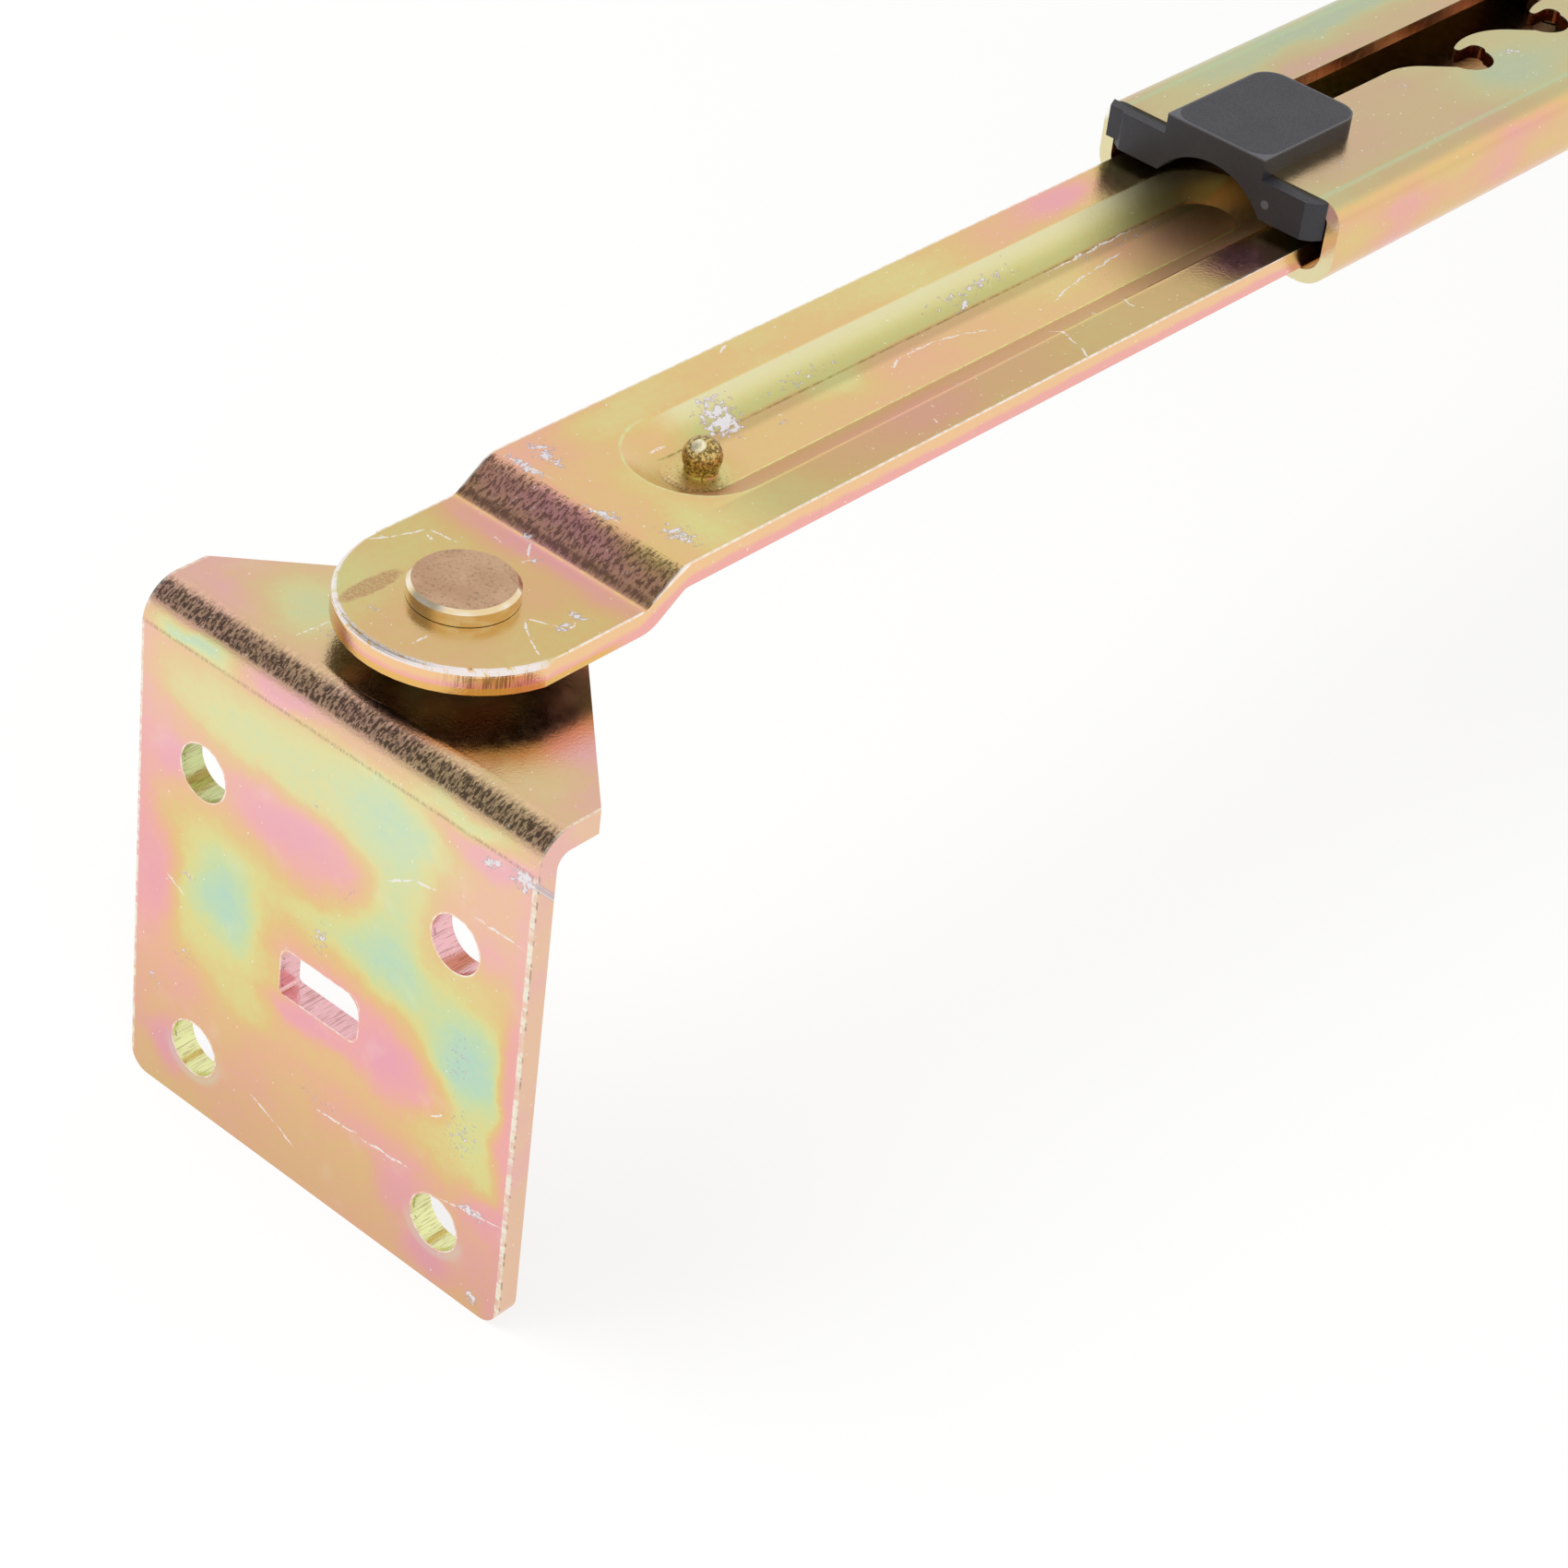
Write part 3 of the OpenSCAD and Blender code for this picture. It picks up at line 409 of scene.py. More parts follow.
def bracketFinish(name, turnedAt=None, drift=0.0):
    material, tree = startMaterial(name)
    coords = millimetres(tree, turnedAt)
    x, y, z = axes(tree, coords)
    _, _, nz, ax, ay, az = facing(tree)
    halfPitch, holeRadius, plateHalf, foldDepth, foldFoot, flangeTop, slotCorner = (
        bracketSettings[key] for key in ("halfPitch", "holeRadius", "plateHalf", "foldDepth",
                                         "foldFoot", "flangeTop", "slotCorner"))
    flat = sheetMap(tree, x, calc(tree, "ADD", y, z))
    loose = warp(tree, flat, 7.0, 2.2 + drift)
    field = span(tree, grain(tree, flat, 13, 3.0, shift=(drift, 0, 3)), 0.32, 0.68,
                 bracketSettings["filmLow"], bracketSettings["filmHigh"])
    field = layFilm(tree, field, loose, bracketSettings["patches"])
    mottle = grain(tree, flat, 1.2, 5.0, rough=0.7)
    field = calc(tree, "ADD", field, span(tree, mottle, 0.25, 0.75, -0.06, 0.06, False))
    colour = filmRamp(tree, field)
    # faint cloudiness in the film's brightness
    colour = tint(tree, colour, "#FFFFFF", span(tree, grain(tree, flat, 5, 3.0), 0.55, 0.8), 0.10)
    # the light falls off down the plate
    rise = calc(tree, "ADD", y, z)
    colour = tint(tree, colour, "#5A4636", span(tree, rise, -2, -24), 0.17)
    colour = tint(tree, colour, "#FFFFFF", span(tree, rise, 6, 24), 0.12)
    colour = tint(tree, colour, "#8A7238", span(tree, rise, flangeTop + 3, flangeTop + 3.8), 0.16)
    # fold: the film is strained dark on its flange side, with streaks across the bend; the dark is
    # partly real strain and partly painted shade for the dark the bend mirrors
    onFold = calc(tree, "MULTIPLY", span(tree, y, foldDepth + 0.3, foldDepth - 0.1),
                  span(tree, z, foldFoot - 0.1, foldFoot + 0.3))
    streaks = grain(tree, coords, 0.27, 3.0, stretch=(1, 2.6, 2.6), rough=0.7)
    onBend = calc(tree, "MULTIPLY", onFold, band(tree, nz, 0.63, 0.955, 0.05))
    dark = calc(tree, "MULTIPLY", onBend, span(tree, streaks, 0.43, 0.55, 0.12, 1.0))
    colour = tint(tree, colour, bracketSettings["strainAndShade"], dark, 0.84)
    # painted highlight: pale glints on the fold
    paintedGlints = calc(tree, "MULTIPLY", onFold, span(tree, streaks, 0.64, 0.7),
                  span(tree, nz, 0.72, 0.4))
    colour = tint(tree, colour, "#FFF8EA", paintedGlints, 0.5)
    crease = calc(tree, "MULTIPLY", band(tree, z, foldFoot + 0.25, foldFoot + 0.55, 0.2),
                  span(tree, y, 0.6, 0.3), span(tree, streaks, 0.4, 0.58, 0.1, 1.0))
    colour = tint(tree, colour, "#7E6E5E", crease, 0.5)
    # hole and slot walls: sheared, with lines through the sheet's thickness
    plateCut = calc(tree, "MULTIPLY", span(tree, z, foldFoot + 0.1, foldFoot - 0.3),
                    span(tree, ay, 0.75, 0.45))
    flangeCut = calc(tree, "MULTIPLY", span(tree, y, foldDepth - 0.1, foldDepth + 0.2),
                     span(tree, az, 0.75, 0.45))
    outside = span(tree, ax, 0.8, 0.9)
    cut = calc(tree, "MAXIMUM", plateCut, flangeCut, outside)
    inner = calc(tree, "MULTIPLY", plateCut, span(tree, calc(tree, "ABSOLUTE", x), 21, 20.4),
                 span(tree, z, -21.6, -21))
    shear = grain(tree, coords, 0.16, 3.0, stretch=(1, 14, 1))
    wall = tint(tree, bracketSettings["wall"], "#E9C79C",
                span(tree, grain(tree, coords, 7, 2.0), 0.42, 0.62), 0.6)
    holeWall = tint(tree, "#F2BEC2", "#EBEDAE", span(tree, z, -6, -10))
    upperLeft = calc(tree, "MULTIPLY", span(tree, x, -12, -14), span(tree, z, 12, 13))
    holeWall = tint(tree, holeWall, "#CBD396", upperLeft)
    holeWall = tint(tree, holeWall, bracketSettings["shear"], span(tree, shear, 0.48, 0.66), 0.45)
    wall = tint(tree, wall, holeWall, inner)
    colour = tint(tree, colour, wall, cut)
    # holes' front edges: a thin burr painted bright as a highlight; below and left of each lower
    # hole a mint halo
    holeAway = distance(tree, *(calc(tree, "ADD", calc(tree, "ABSOLUTE", place), -halfPitch)
                                for place in (x, z)))
    breakup = span(tree, grain(tree, flat, 0.8, 3.0), 0.4, 0.6, 0.25, 1.0)
    front = span(tree, y, 0.12, 0.05)
    burrHighlight = calc(tree, "MULTIPLY", band(tree, holeAway, holeRadius, holeRadius + 0.15, 0.08), front,
                breakup)
    colour = tint(tree, colour, "#FBF6EC", burrHighlight, 0.8)
    halo = calc(tree, "MULTIPLY", band(tree, holeAway, holeRadius + 0.2, holeRadius + 0.9, 0.5),
                span(tree, z, -15, -18), front)
    colour = tint(tree, colour, "#C6DCCB", halo, 0.35)
    slotAway = roundedAway(tree, (x, z), bracketSettings["slotCentre"], bracketSettings["slotHalf"],
                           slotCorner)
    # painted highlight on the slot's burr
    burrHighlight = calc(tree, "MULTIPLY", band(tree, slotAway, slotCorner - 0.04, slotCorner + 0.1, 0.06),
                front, breakup)
    colour = tint(tree, colour, "#FBF6EC", burrHighlight, 0.75)
    # outline: the sheared edge has a crest painted bright as a highlight, with a broken dark line
    # beside it
    rimAcross = span(tree, calc(tree, "ABSOLUTE", x), plateHalf - 0.34, plateHalf - 0.2)
    crestHighlight = calc(tree, "MULTIPLY", rimAcross, span(tree, y, 0.5, 0.25),
                 span(tree, z, foldFoot + 0.7, foldFoot - 0.3), breakup)
    colour = tint(tree, colour, bracketSettings["outlineHighlight"], crestHighlight, 0.85)
    ditch = calc(tree, "MULTIPLY", outside, band(tree, y, 0.3, 0.5, 0.1),
                 span(tree, grain(tree, flat, 0.9, 3.0, shift=(5, 2, 0)), 0.5, 0.6))
    colour = tint(tree, colour, "#6E5A50", ditch, 0.6)
    # painted highlight where the outline runs over the fold
    crestHighlight = calc(tree, "MULTIPLY", rimAcross, span(tree, nz, 0.3, 0.6), breakup)
    colour = tint(tree, colour, "#F7EFDC", crestHighlight, 0.7)
    # painted shade: the flange is darkened under the arm, around the pivot
    underArmShadeSpot = spot(tree, warp(tree, flat, 3.0, 0.8), bracketSettings["pivot"], (9.5, 9.5), 0,
                      0.75, 1.15)
    underArmShade = calc(tree, "MULTIPLY", underArmShadeSpot, span(tree, z, flangeTop - 0.8, flangeTop - 0.3))
    colour = tint(tree, colour, "#2A2A1C", underArmShade, 0.85)
    # handling marks
    hair = scratches(tree, flat, bracketSettings["scratches"], bracketSettings["hairWidth"])
    colour = tint(tree, colour, "#F6F2EF", hair, 0.85)
    colour, bare = scuffed(tree, colour, flat, bracketSettings["scuffs"])
    colour = flecked(tree, colour, coords, 0.7)
    height = calc(tree, "ADD", span(tree, grain(tree, coords, 0.22, 3.0), 0.2, 0.8),
                  calc(tree, "MULTIPLY", streaks, settle(tree, onFold, 5.0, onBend)))
    worn = calc(tree, "MAXIMUM", hair, bare, dark)
    rough = settle(tree, span(tree, mottle, 0.3, 0.7, 0.17, 0.25), 0.4, worn)
    finishMetal(tree, colour, rough, height, 0.4, 0.02)
    return material


# arm: the same sheet and film, olive and tan on its flats, cream and orange in the groove
armSettings = {
    "filmLow": 0.38, "filmHigh": 0.54,
    # film patches on top: across, along, half width, half length, film, strength
    "patches": [
        (0, 24.6, 15, 2.6, 0.10, 0.9), (-10, 7, 4, 5, 0.62, 0.9), (9.5, 17, 3, 5, 0.46, 0.8),
        (4, 20, 4, 3, 0.30, 0.7), (0, 28.4, 16, 2.2, 0.10, 0.9), (9, 29.6, 4.5, 1.8, 0.5, 0.8),
        (-9.5, 32, 4, 5, 0.20, 0.8), (8, 35.5, 5, 3.6, 0.60, 0.9), (-12, 40, 1.6, 6, 0.18, 0.8),
        (-9.5, 43, 3, 6, 0.55, 0.8), (-9.5, 55, 3, 7, 0.42, 0.8), (-9.5, 84, 3, 10, 0.56, 0.8),
        (-9.5, 99, 3, 6, 0.28, 0.8), (-10, 109, 3.2, 7, 0.04, 0.9), (9.5, 42, 3.4, 8, 0.57, 0.9),
        (9.5, 55, 3.4, 6, 0.38, 0.8), (9, 67, 3.6, 10, 0.22, 0.9), (9.5, 80, 3.6, 6, 0.36, 0.8),
        (9.5, 97, 3.4, 12, 0.48, 0.8), (9.5, 114.5, 3.4, 5, 0.04, 0.9),
        (6.2, 64, 1.2, 14, 0.14, 0.8), (0, 32.5, 8, 3, 0.34, 0.7),
    ],
    # film patches on the groove's floor
    "floorPatches": [
        (-0.6, 55, 4, 7, 0.44, 1.0), (-2.6, 68, 2.6, 5.5, 0.60, 1.0), (-0.6, 76, 4, 7, 0.30, 1.0),
        (-1.4, 86, 4, 6, 0.36, 1.0), (-1.4, 98, 4, 9, 0.49, 1.0), (-2, 109, 3, 3, 0.28, 0.8),
        (0, 116, 4, 6, 0.28, 0.9), (-3.4, 44, 5, 5, 0.50, 0.8), (1.4, 45, 3, 3, 0.64, 0.8),
    ],
    "scratches": [
        (-11.7, 14.2, -10.2, 17), (-10.2, 17, -9.4, 19.6), (-9.4, 19.6, -6, 20.3),
        (-8.8, 19, -7.8, 18.7), (6, 16.4, 8.2, 14.6), (8.2, 14.6, 11, 13.3), (6, 16.4, 8, 17.6),
        (8, 17.6, 9.6, 18.2), (9.6, 18.2, 9.2, 19.6), (-0.4, 22, -0.2, 23.4),
        (-0.4, 23.3, -2.2, 25.4), (-5, 23.5, -3.8, 23.2), (2.4, 8.4, 2.6, 6.2),
        (-11.4, 60.8, -10.6, 59), (-0.75, 72.7, -1.65, 75.3), (-1.65, 75.3, -1.45, 80.3),
        (-1.45, 80.3, -0.75, 83.3), (-0.75, 83.3, 0.45, 85.9), (0.95, 95.5, -0.05, 99.3),
        (-0.05, 99.3, -0.55, 103.3), (-0.55, 103.3, -1.15, 108.9), (5, 89, 10, 87.8),
        (10, 87.8, 11.8, 86.8), (6.2, 98.6, 9.2, 97.8), (6, 94.4, 7.4, 93.8),
        (-4.4, 45, -4.2, 42.6), (-3.1, 98.3, -3.4, 114.3), (-11, 30.4, -5, 31),
        (-0.8, 30.2, 3.8, 30.6),
    ],
    "scuffs": [
        (-8.6, 33.6, 4.5, 1.8, -12, 0.75), (-8.2, 30.6, 3.6, 0.8, 0, 0.9),
        (1.8, 30.6, 2.6, 1.2, 15, 0.8), (8.2, 33.4, 3.2, 2.0, 12, 0.8),
        (-4.3, 52.5, 3.2, 3.4, -20, 1.0), (-4.5, 63.7, 1.2, 9, 0, 0.55),
        (-0.75, 57.3, 0.9, 1.4, 0, 0.6), (8.6, 20.3, 1.6, 0.8, 15, 0.95),
        (9.2, 18, 0.9, 1.6, 0, 0.8), (-3.3, 7.4, 0.8, 0.9, 0, 0.8), (-4.9, 89.4, 1.2, 11, 0, 0.6),
        (-3.9, 87, 0.9, 3, 0, 0.75), (-2.7, 104.8, 1.2, 1.0, 0, 0.7),
        (-2.5, 113.3, 0.9, 7, 0, 0.6), (7.2, 82, 0.6, 4, 0, 0.55), (7, 73, 0.6, 0.9, 0, 0.7),
        (0.5, 23.6, 1.2, 0.8, 30, 0.7), (-2.6, 25.6, 1.4, 0.8, 0, 0.8),
    ],
    "hairWidth": 0.14,
    # the strained colour is partly real strain, partly painted shade
    "sideUpper": "#F3C796", "sideLower": "#F2AFA6", "strainAndShade": "#2A1A1C",
    # mm: groove from and to, its half width, floor and near end's centre, strap's top, stud
    "groove": (36.6, 128.4), "grooveHalf": 7.15, "floor": 38.05, "grooveEnd": (0, 44.6),
    "top": 40.15, "stud": (0, 45.2), "studReach": (2.1, 2.1),
    "studHighlightNormal": (0.10, -0.51, 0.85),  # the normal where the stud gets a painted highlight
}


def armFinish(name):
    material, tree = startMaterial(name)
    coords = millimetres(tree)
    x, y, z = axes(tree, coords)
    _, _, nz, ax, _, az = facing(tree)
    grooveHalf, floorHigh, topHigh = (armSettings[key] for key in ("grooveHalf", "floor", "top"))
    flat = sheetMap(tree, x, y)
    loose = warp(tree, flat, 6.0, 1.6)
    field = span(tree, grain(tree, flat, 9, 2.0, stretch=(1, 2.4, 1)), 0.32, 0.68,
                 armSettings["filmLow"], armSettings["filmHigh"])
    field = layFilm(tree, field, loose, armSettings["patches"])
    # groove: orange floor; far wall with a painted highlight in cream at its top and painted shade
    # in olive toward the floor
    inside = calc(tree, "MULTIPLY", band(tree, y, *armSettings["groove"], 0.3),
                  span(tree, calc(tree, "ABSOLUTE", x), grooveHalf + 0.25, grooveHalf - 0.05))
    sunk = calc(tree, "MULTIPLY", inside, span(tree, z, topHigh - 0.05, topHigh - 0.2))
    offFloor = span(tree, z, floorHigh + 0.05, floorHigh + 0.25)
    nearFloor = span(tree, z, floorHigh + 0.35, floorHigh + 0.15)
    floorPart = calc(tree, "MULTIPLY", sunk, span(tree, z, floorHigh + 0.25, floorHigh + 0.05))
    floorField = span(tree, grain(tree, flat, 6, 2.0, stretch=(1, 3, 1)), 0.3, 0.7, 0.34, 0.46)
    floorField = layFilm(tree, floorField, loose, armSettings["floorPatches"])
    wallField = span(tree, z, floorHigh + 0.05, topHigh - 0.05, 0.60, 0.58, False)
    farWall = calc(tree, "MULTIPLY", sunk, span(tree, x, -1.5, -2.5), span(tree, y, 44, 50))
    field = settle(tree, field, wallField, farWall)
    field = settle(tree, field, floorField, floorPart)
    mottle = grain(tree, flat, 1.0, 5.0, rough=0.7)
    field = calc(tree, "ADD", field, span(tree, mottle, 0.25, 0.75, -0.05, 0.05, False))
    colour = filmRamp(tree, field)
    farWallHighlight = span(tree, z, floorHigh + 0.55, topHigh - 0.15)
    colour = tint(tree, colour, "#F1ECD2", calc(tree, "MULTIPLY", farWall, farWallHighlight), 0.45)
    farWallShade = span(tree, z, topHigh - 0.65, floorHigh + 0.15)
    colour = tint(tree, colour, "#5E6430", calc(tree, "MULTIPLY", farWall, farWallShade), 0.26)
    # flats: thicker film, deeper in colour on the low end and the near side
    onTop = span(tree, nz, 0.9, 0.97)
    lowFlat = calc(tree, "MULTIPLY", onTop, span(tree, y, 25.6, 24.6))
    colour = tint(tree, colour, "#7A5A1E", lowFlat, 0.16)
    nearFlat = calc(tree, "MULTIPLY", onTop, span(tree, x, 7.2, 7.6), span(tree, y, 36, 46))
    colour = tint(tree, colour, "#6E4E34", nearFlat, 0.26)
    # painted light: the near wall is tinted pink so it reads like the flats, not as the darker band
    # its slope mirrors
    nearWallLit = calc(tree, "MULTIPLY", sunk, span(tree, x, 3.0, 3.6), offFloor)
    colour = tint(tree, colour, "#DDAA8E", nearWallLit, 0.55)
    # creases: a dark line of painted shade at the foot of the far wall, a pale green line of
    # painted highlight at the foot of the near one
    breakup = span(tree, grain(tree, flat, 0.9, 3.0), 0.4, 0.6, 0.35, 1.0)
    paintedCreaseLine = calc(tree, "MULTIPLY", inside, band(tree, x, -3.48, -3.3, 0.08), nearFloor, breakup)
    colour = tint(tree, colour, "#7A7434", paintedCreaseLine, 0.65)
    paintedCreaseLine = calc(tree, "MULTIPLY", inside, band(tree, x, 3.2, 3.45, 0.1), nearFloor, breakup)
    colour = tint(tree, colour, "#EDEB9A", paintedCreaseLine, 0.9)
    # the groove's rounded end: a pale green painted highlight on its lip, and a dark arc of painted
    # shade where the floor turns up
    aside, ahead = armSettings["grooveEnd"]
    fromEnd = distance(tree, calc(tree, "ADD", x, -aside), calc(tree, "ADD", y, -ahead))
    lipHighlight = calc(tree, "MULTIPLY", band(tree, fromEnd, grooveHalf - 0.13, grooveHalf + 0.15, 0.1),
               span(tree, y, 46, 43), breakup)
    colour = tint(tree, colour, "#DDE8A8", lipHighlight, 0.7)
    specks = span(tree, grain(tree, flat, 0.35, 3.0, rough=0.7), 0.42, 0.56)
    endArcShade = calc(tree, "MULTIPLY", band(tree, fromEnd, 2.9, 3.7, 0.35), span(tree, y, 46.4, 44.2),
               sunk, span(tree, x, -2.4, 0.6), specks)
    colour = tint(tree, colour, "#4C3C1E", endArcShade, 0.7)
    # step: strained dark, grained by the punch, the dark partly painted shade and deepest as
    # painted shade in the crease at its foot, with a painted highlight as a bright line at its foot
    onStep = calc(tree, "MULTIPLY", band(tree, y, 25.7, 31.0, 0.25), span(tree, az, 0.6, 0.7))
    streaks = grain(tree, coords, 0.30, 3.0, stretch=(1, 2.6, 2.2), rough=0.7)
    strainAndShade = calc(tree, "MULTIPLY", onStep, span(tree, nz, 0.985, 0.95),
                    span(tree, streaks, 0.46, 0.57, 0.16, 1.0))
    stepFootShade = calc(tree, "MULTIPLY", band(tree, y, 25.9, 26.6, 0.25), onStep,
                  span(tree, streaks, 0.36, 0.5, 0.4, 1.0))
    strainAndShade = calc(tree, "MAXIMUM", strainAndShade, stepFootShade)
    colour = tint(tree, colour, armSettings["strainAndShade"], strainAndShade, 0.74)
    stepFootHighlight = calc(tree, "MULTIPLY", band(tree, y, 25.3, 25.6, 0.1), breakup)
    colour = tint(tree, colour, "#F3CF86", stepFootHighlight, 0.7)
    # cut side of the strap
    side = calc(tree, "MAXIMUM", span(tree, ax, 0.8, 0.92),
                calc(tree, "MULTIPLY", span(tree, y, 14, 12), span(tree, az, 0.25, 0.15)))
    sideHigh = calc(tree, "ADD", z, span(tree, y, 25, 31, 2.8, 0.0, False))
    wall = tint(tree, armSettings["sideUpper"], armSettings["sideLower"],
                span(tree, calc(tree, "ADD", sideHigh, grain(tree, coords, 4, 2.0)), 39.7, 38.9))
    endCut = calc(tree, "MULTIPLY", span(tree, y, 13, 11), span(tree, x, 6, 9))
    shear = grain(tree, coords, 0.2, 3.0, stretch=(1, 1, 12))
    sheared = calc(tree, "MULTIPLY", endCut, span(tree, shear, 0.42, 0.6))
    wall = tint(tree, wall, "#7A5238", sheared, 0.7)
    # painted highlight: a golden line along the low edge of the round end
    lowEdgeHighlight = calc(tree, "MULTIPLY", span(tree, z, 35.7, 35.4), span(tree, y, 24, 20))
    wall = tint(tree, wall, "#E6B85C", lowEdgeHighlight, 0.85)
    colour = tint(tree, colour, wall, side)
    # burr along the upper edge, painted bright as a highlight, and the rolled rim of the round end
    # painted with a silver highlight crossed by dark violet lines of painted reflection
    upperBurrHighlight = calc(tree, "MULTIPLY", span(tree, calc(tree, "ABSOLUTE", x), 11.66, 11.8),
                    span(tree, sideHigh, topHigh - 0.17, topHigh - 0.07),
                    span(tree, breakup, 0.35, 1.0, 0.6, 1.0))
    colour = tint(tree, colour, "#FFFAF2", upperBurrHighlight, 0.8)
    rim = calc(tree, "MULTIPLY", band(tree, nz, 0.2, 0.96, 0.05), span(tree, y, 15, 12),
               span(tree, z, 36.4, 36.6))
    rimGrain = grain(tree, flat, 0.9, 4.0, stretch=(2.2, 1, 1), rough=0.7)
    rimHighlight = calc(tree, "MULTIPLY", rim, span(tree, rimGrain, 0.36, 0.48))
    colour = tint(tree, colour, "#F4EEF0", rimHighlight, 0.85)
    rimReflectionLines = calc(tree, "MULTIPLY", rim, span(tree, rimGrain, 0.35, 0.3))
    colour = tint(tree, colour, "#5A4A5C", rimReflectionLines, 0.7)
    # painted shade: the underside is darkened around the pivot
    undersideShade = calc(tree, "MULTIPLY", span(tree, nz, -0.6, -0.9), span(tree, y, 27, 24))
    colour = tint(tree, colour, "#26241A", undersideShade, 0.9)
    # painted shade: the strap is darkened where it runs inside the rail
    inRailShade = calc(tree, "MULTIPLY", span(tree, y, 130, 143),
                   span(tree, grain(tree, flat, 3, 3.0), 0.2, 0.5, 0.6, 1.0))
    colour = tint(tree, colour, "#3A3830", inRailShade, 0.5)
    # stud: gold with a speckled skin and a painted highlight on one side
    onStud = spot(tree, flat, armSettings["stud"], armSettings["studReach"], 0, 0.96, 1.02)
    onStud = calc(tree, "MULTIPLY", onStud, offFloor)
    pits = grain(tree, coords, 0.3, 3.0, rough=0.75)
    studHighlight = addNode(tree, "VectorMath", {"operation": "DOT_PRODUCT", 1: armSettings["studHighlightNormal"]},
                    {0: addNode(tree, "TexCoord").outputs["Normal"]}).outputs["Value"]
    studSkin = tint(tree, "#E0C078", "#4A3818", span(tree, pits, 0.40, 0.56), 0.8)
    studSkin = tint(tree, studSkin, "#FFF6D0", span(tree, studHighlight, 0.90, 0.96), 0.9)
    colour = tint(tree, colour, studSkin, onStud)
    aroundStud = calc(tree, "MULTIPLY", spot(tree, flat, (0.6, 44.2), (3.6, 3.6), 0, 0.4, 1.1),
                      floorPart, span(tree, grain(tree, flat, 0.32, 2.0), 0.56, 0.66))
    colour = tint(tree, colour, "#4C3C1E", aroundStud, 0.6)
    # a brown smudge rubbed by hand, and marks of handling and sliding
    smudge = spot(tree, warp(tree, flat, 1.5, 0.4), (-6.1, 9.6), (1.1, 4.0), 0, 0.75, 1.05)
    smudge = calc(tree, "MULTIPLY", smudge,
                  span(tree, grain(tree, flat, 0.3, 3.0), 0.35, 0.6, 0.5, 1.0))
    colour = tint(tree, colour, "#B98A66", smudge, 0.8)
    hair = scratches(tree, flat, armSettings["scratches"], armSettings["hairWidth"])
    colour = tint(tree, colour, "#F8F4F2", hair, 0.9)
    colour, bare = scuffed(tree, colour, flat, armSettings["scuffs"], 0.6, (1, 1.6, 1))
    colour = flecked(tree, colour, coords, 0.6)
    height = calc(tree, "ADD", span(tree, grain(tree, coords, 0.22, 3.0), 0.2, 0.8),
                  calc(tree, "MULTIPLY", streaks, onStep, 4.0))
    height = calc(tree, "ADD", height, calc(tree, "MULTIPLY", pits, onStud, 5.0))
    # the punch leaves the groove's end, near wall and far end duller
    punched = spot(tree, flat, armSettings["grooveEnd"], (6, 6), 0, 0.5, 1.1)
    dull = calc(tree, "MULTIPLY", sunk, calc(tree, "MAXIMUM", punched, span(tree, y, 98, 112)))
    worn = calc(tree, "MAXIMUM", hair, bare, strainAndShade, nearWallLit, dull)
    rough = settle(tree, span(tree, mottle, 0.3, 0.7, 0.15, 0.23), 0.42, worn)
    finishMetal(tree, colour, rough, height, 0.4, 0.02)
    return material


# rail: rolled channel of the same plated steel, its film thinner: grey-beige with mint and lilac
railSettings = {
    # film patches: across, along, half width, half length, film, strength
    "patches": [
        (-11.4, 156, 3, 30, 0.88, 0.9), (-8, 150, 1.7, 30, 0.50, 0.8),
        (-6.2, 146, 1.4, 12, 0.16, 0.8), (9, 131, 4.6, 8, 0.34, 0.8), (7.5, 146, 6, 7, 0.44, 0.9),
        (8, 163, 6, 11, 0.80, 1.0), (4, 172, 4, 6, 0.62, 0.8), (-9, 128, 4, 4, 0.56, 0.8),
        (9, 200, 6, 18, 0.5, 0.8), (-8, 225, 8, 20, 0.3, 0.8), (5, 255, 12, 14, 0.65, 0.8),
        (0, 285, 14, 10, 0.2, 0.8),
    ],
    "scuffs": [
        (5.6, 166.5, 0.9, 1.4, -20, 0.8), (9, 130, 1.4, 2, 0, 0.5), (3, 150, 1.4, 1.8, 0, 0.45),
    ],
    "top": "#ABA288", "slotWall": "#FFB490", "pocket": "#D08460",
}


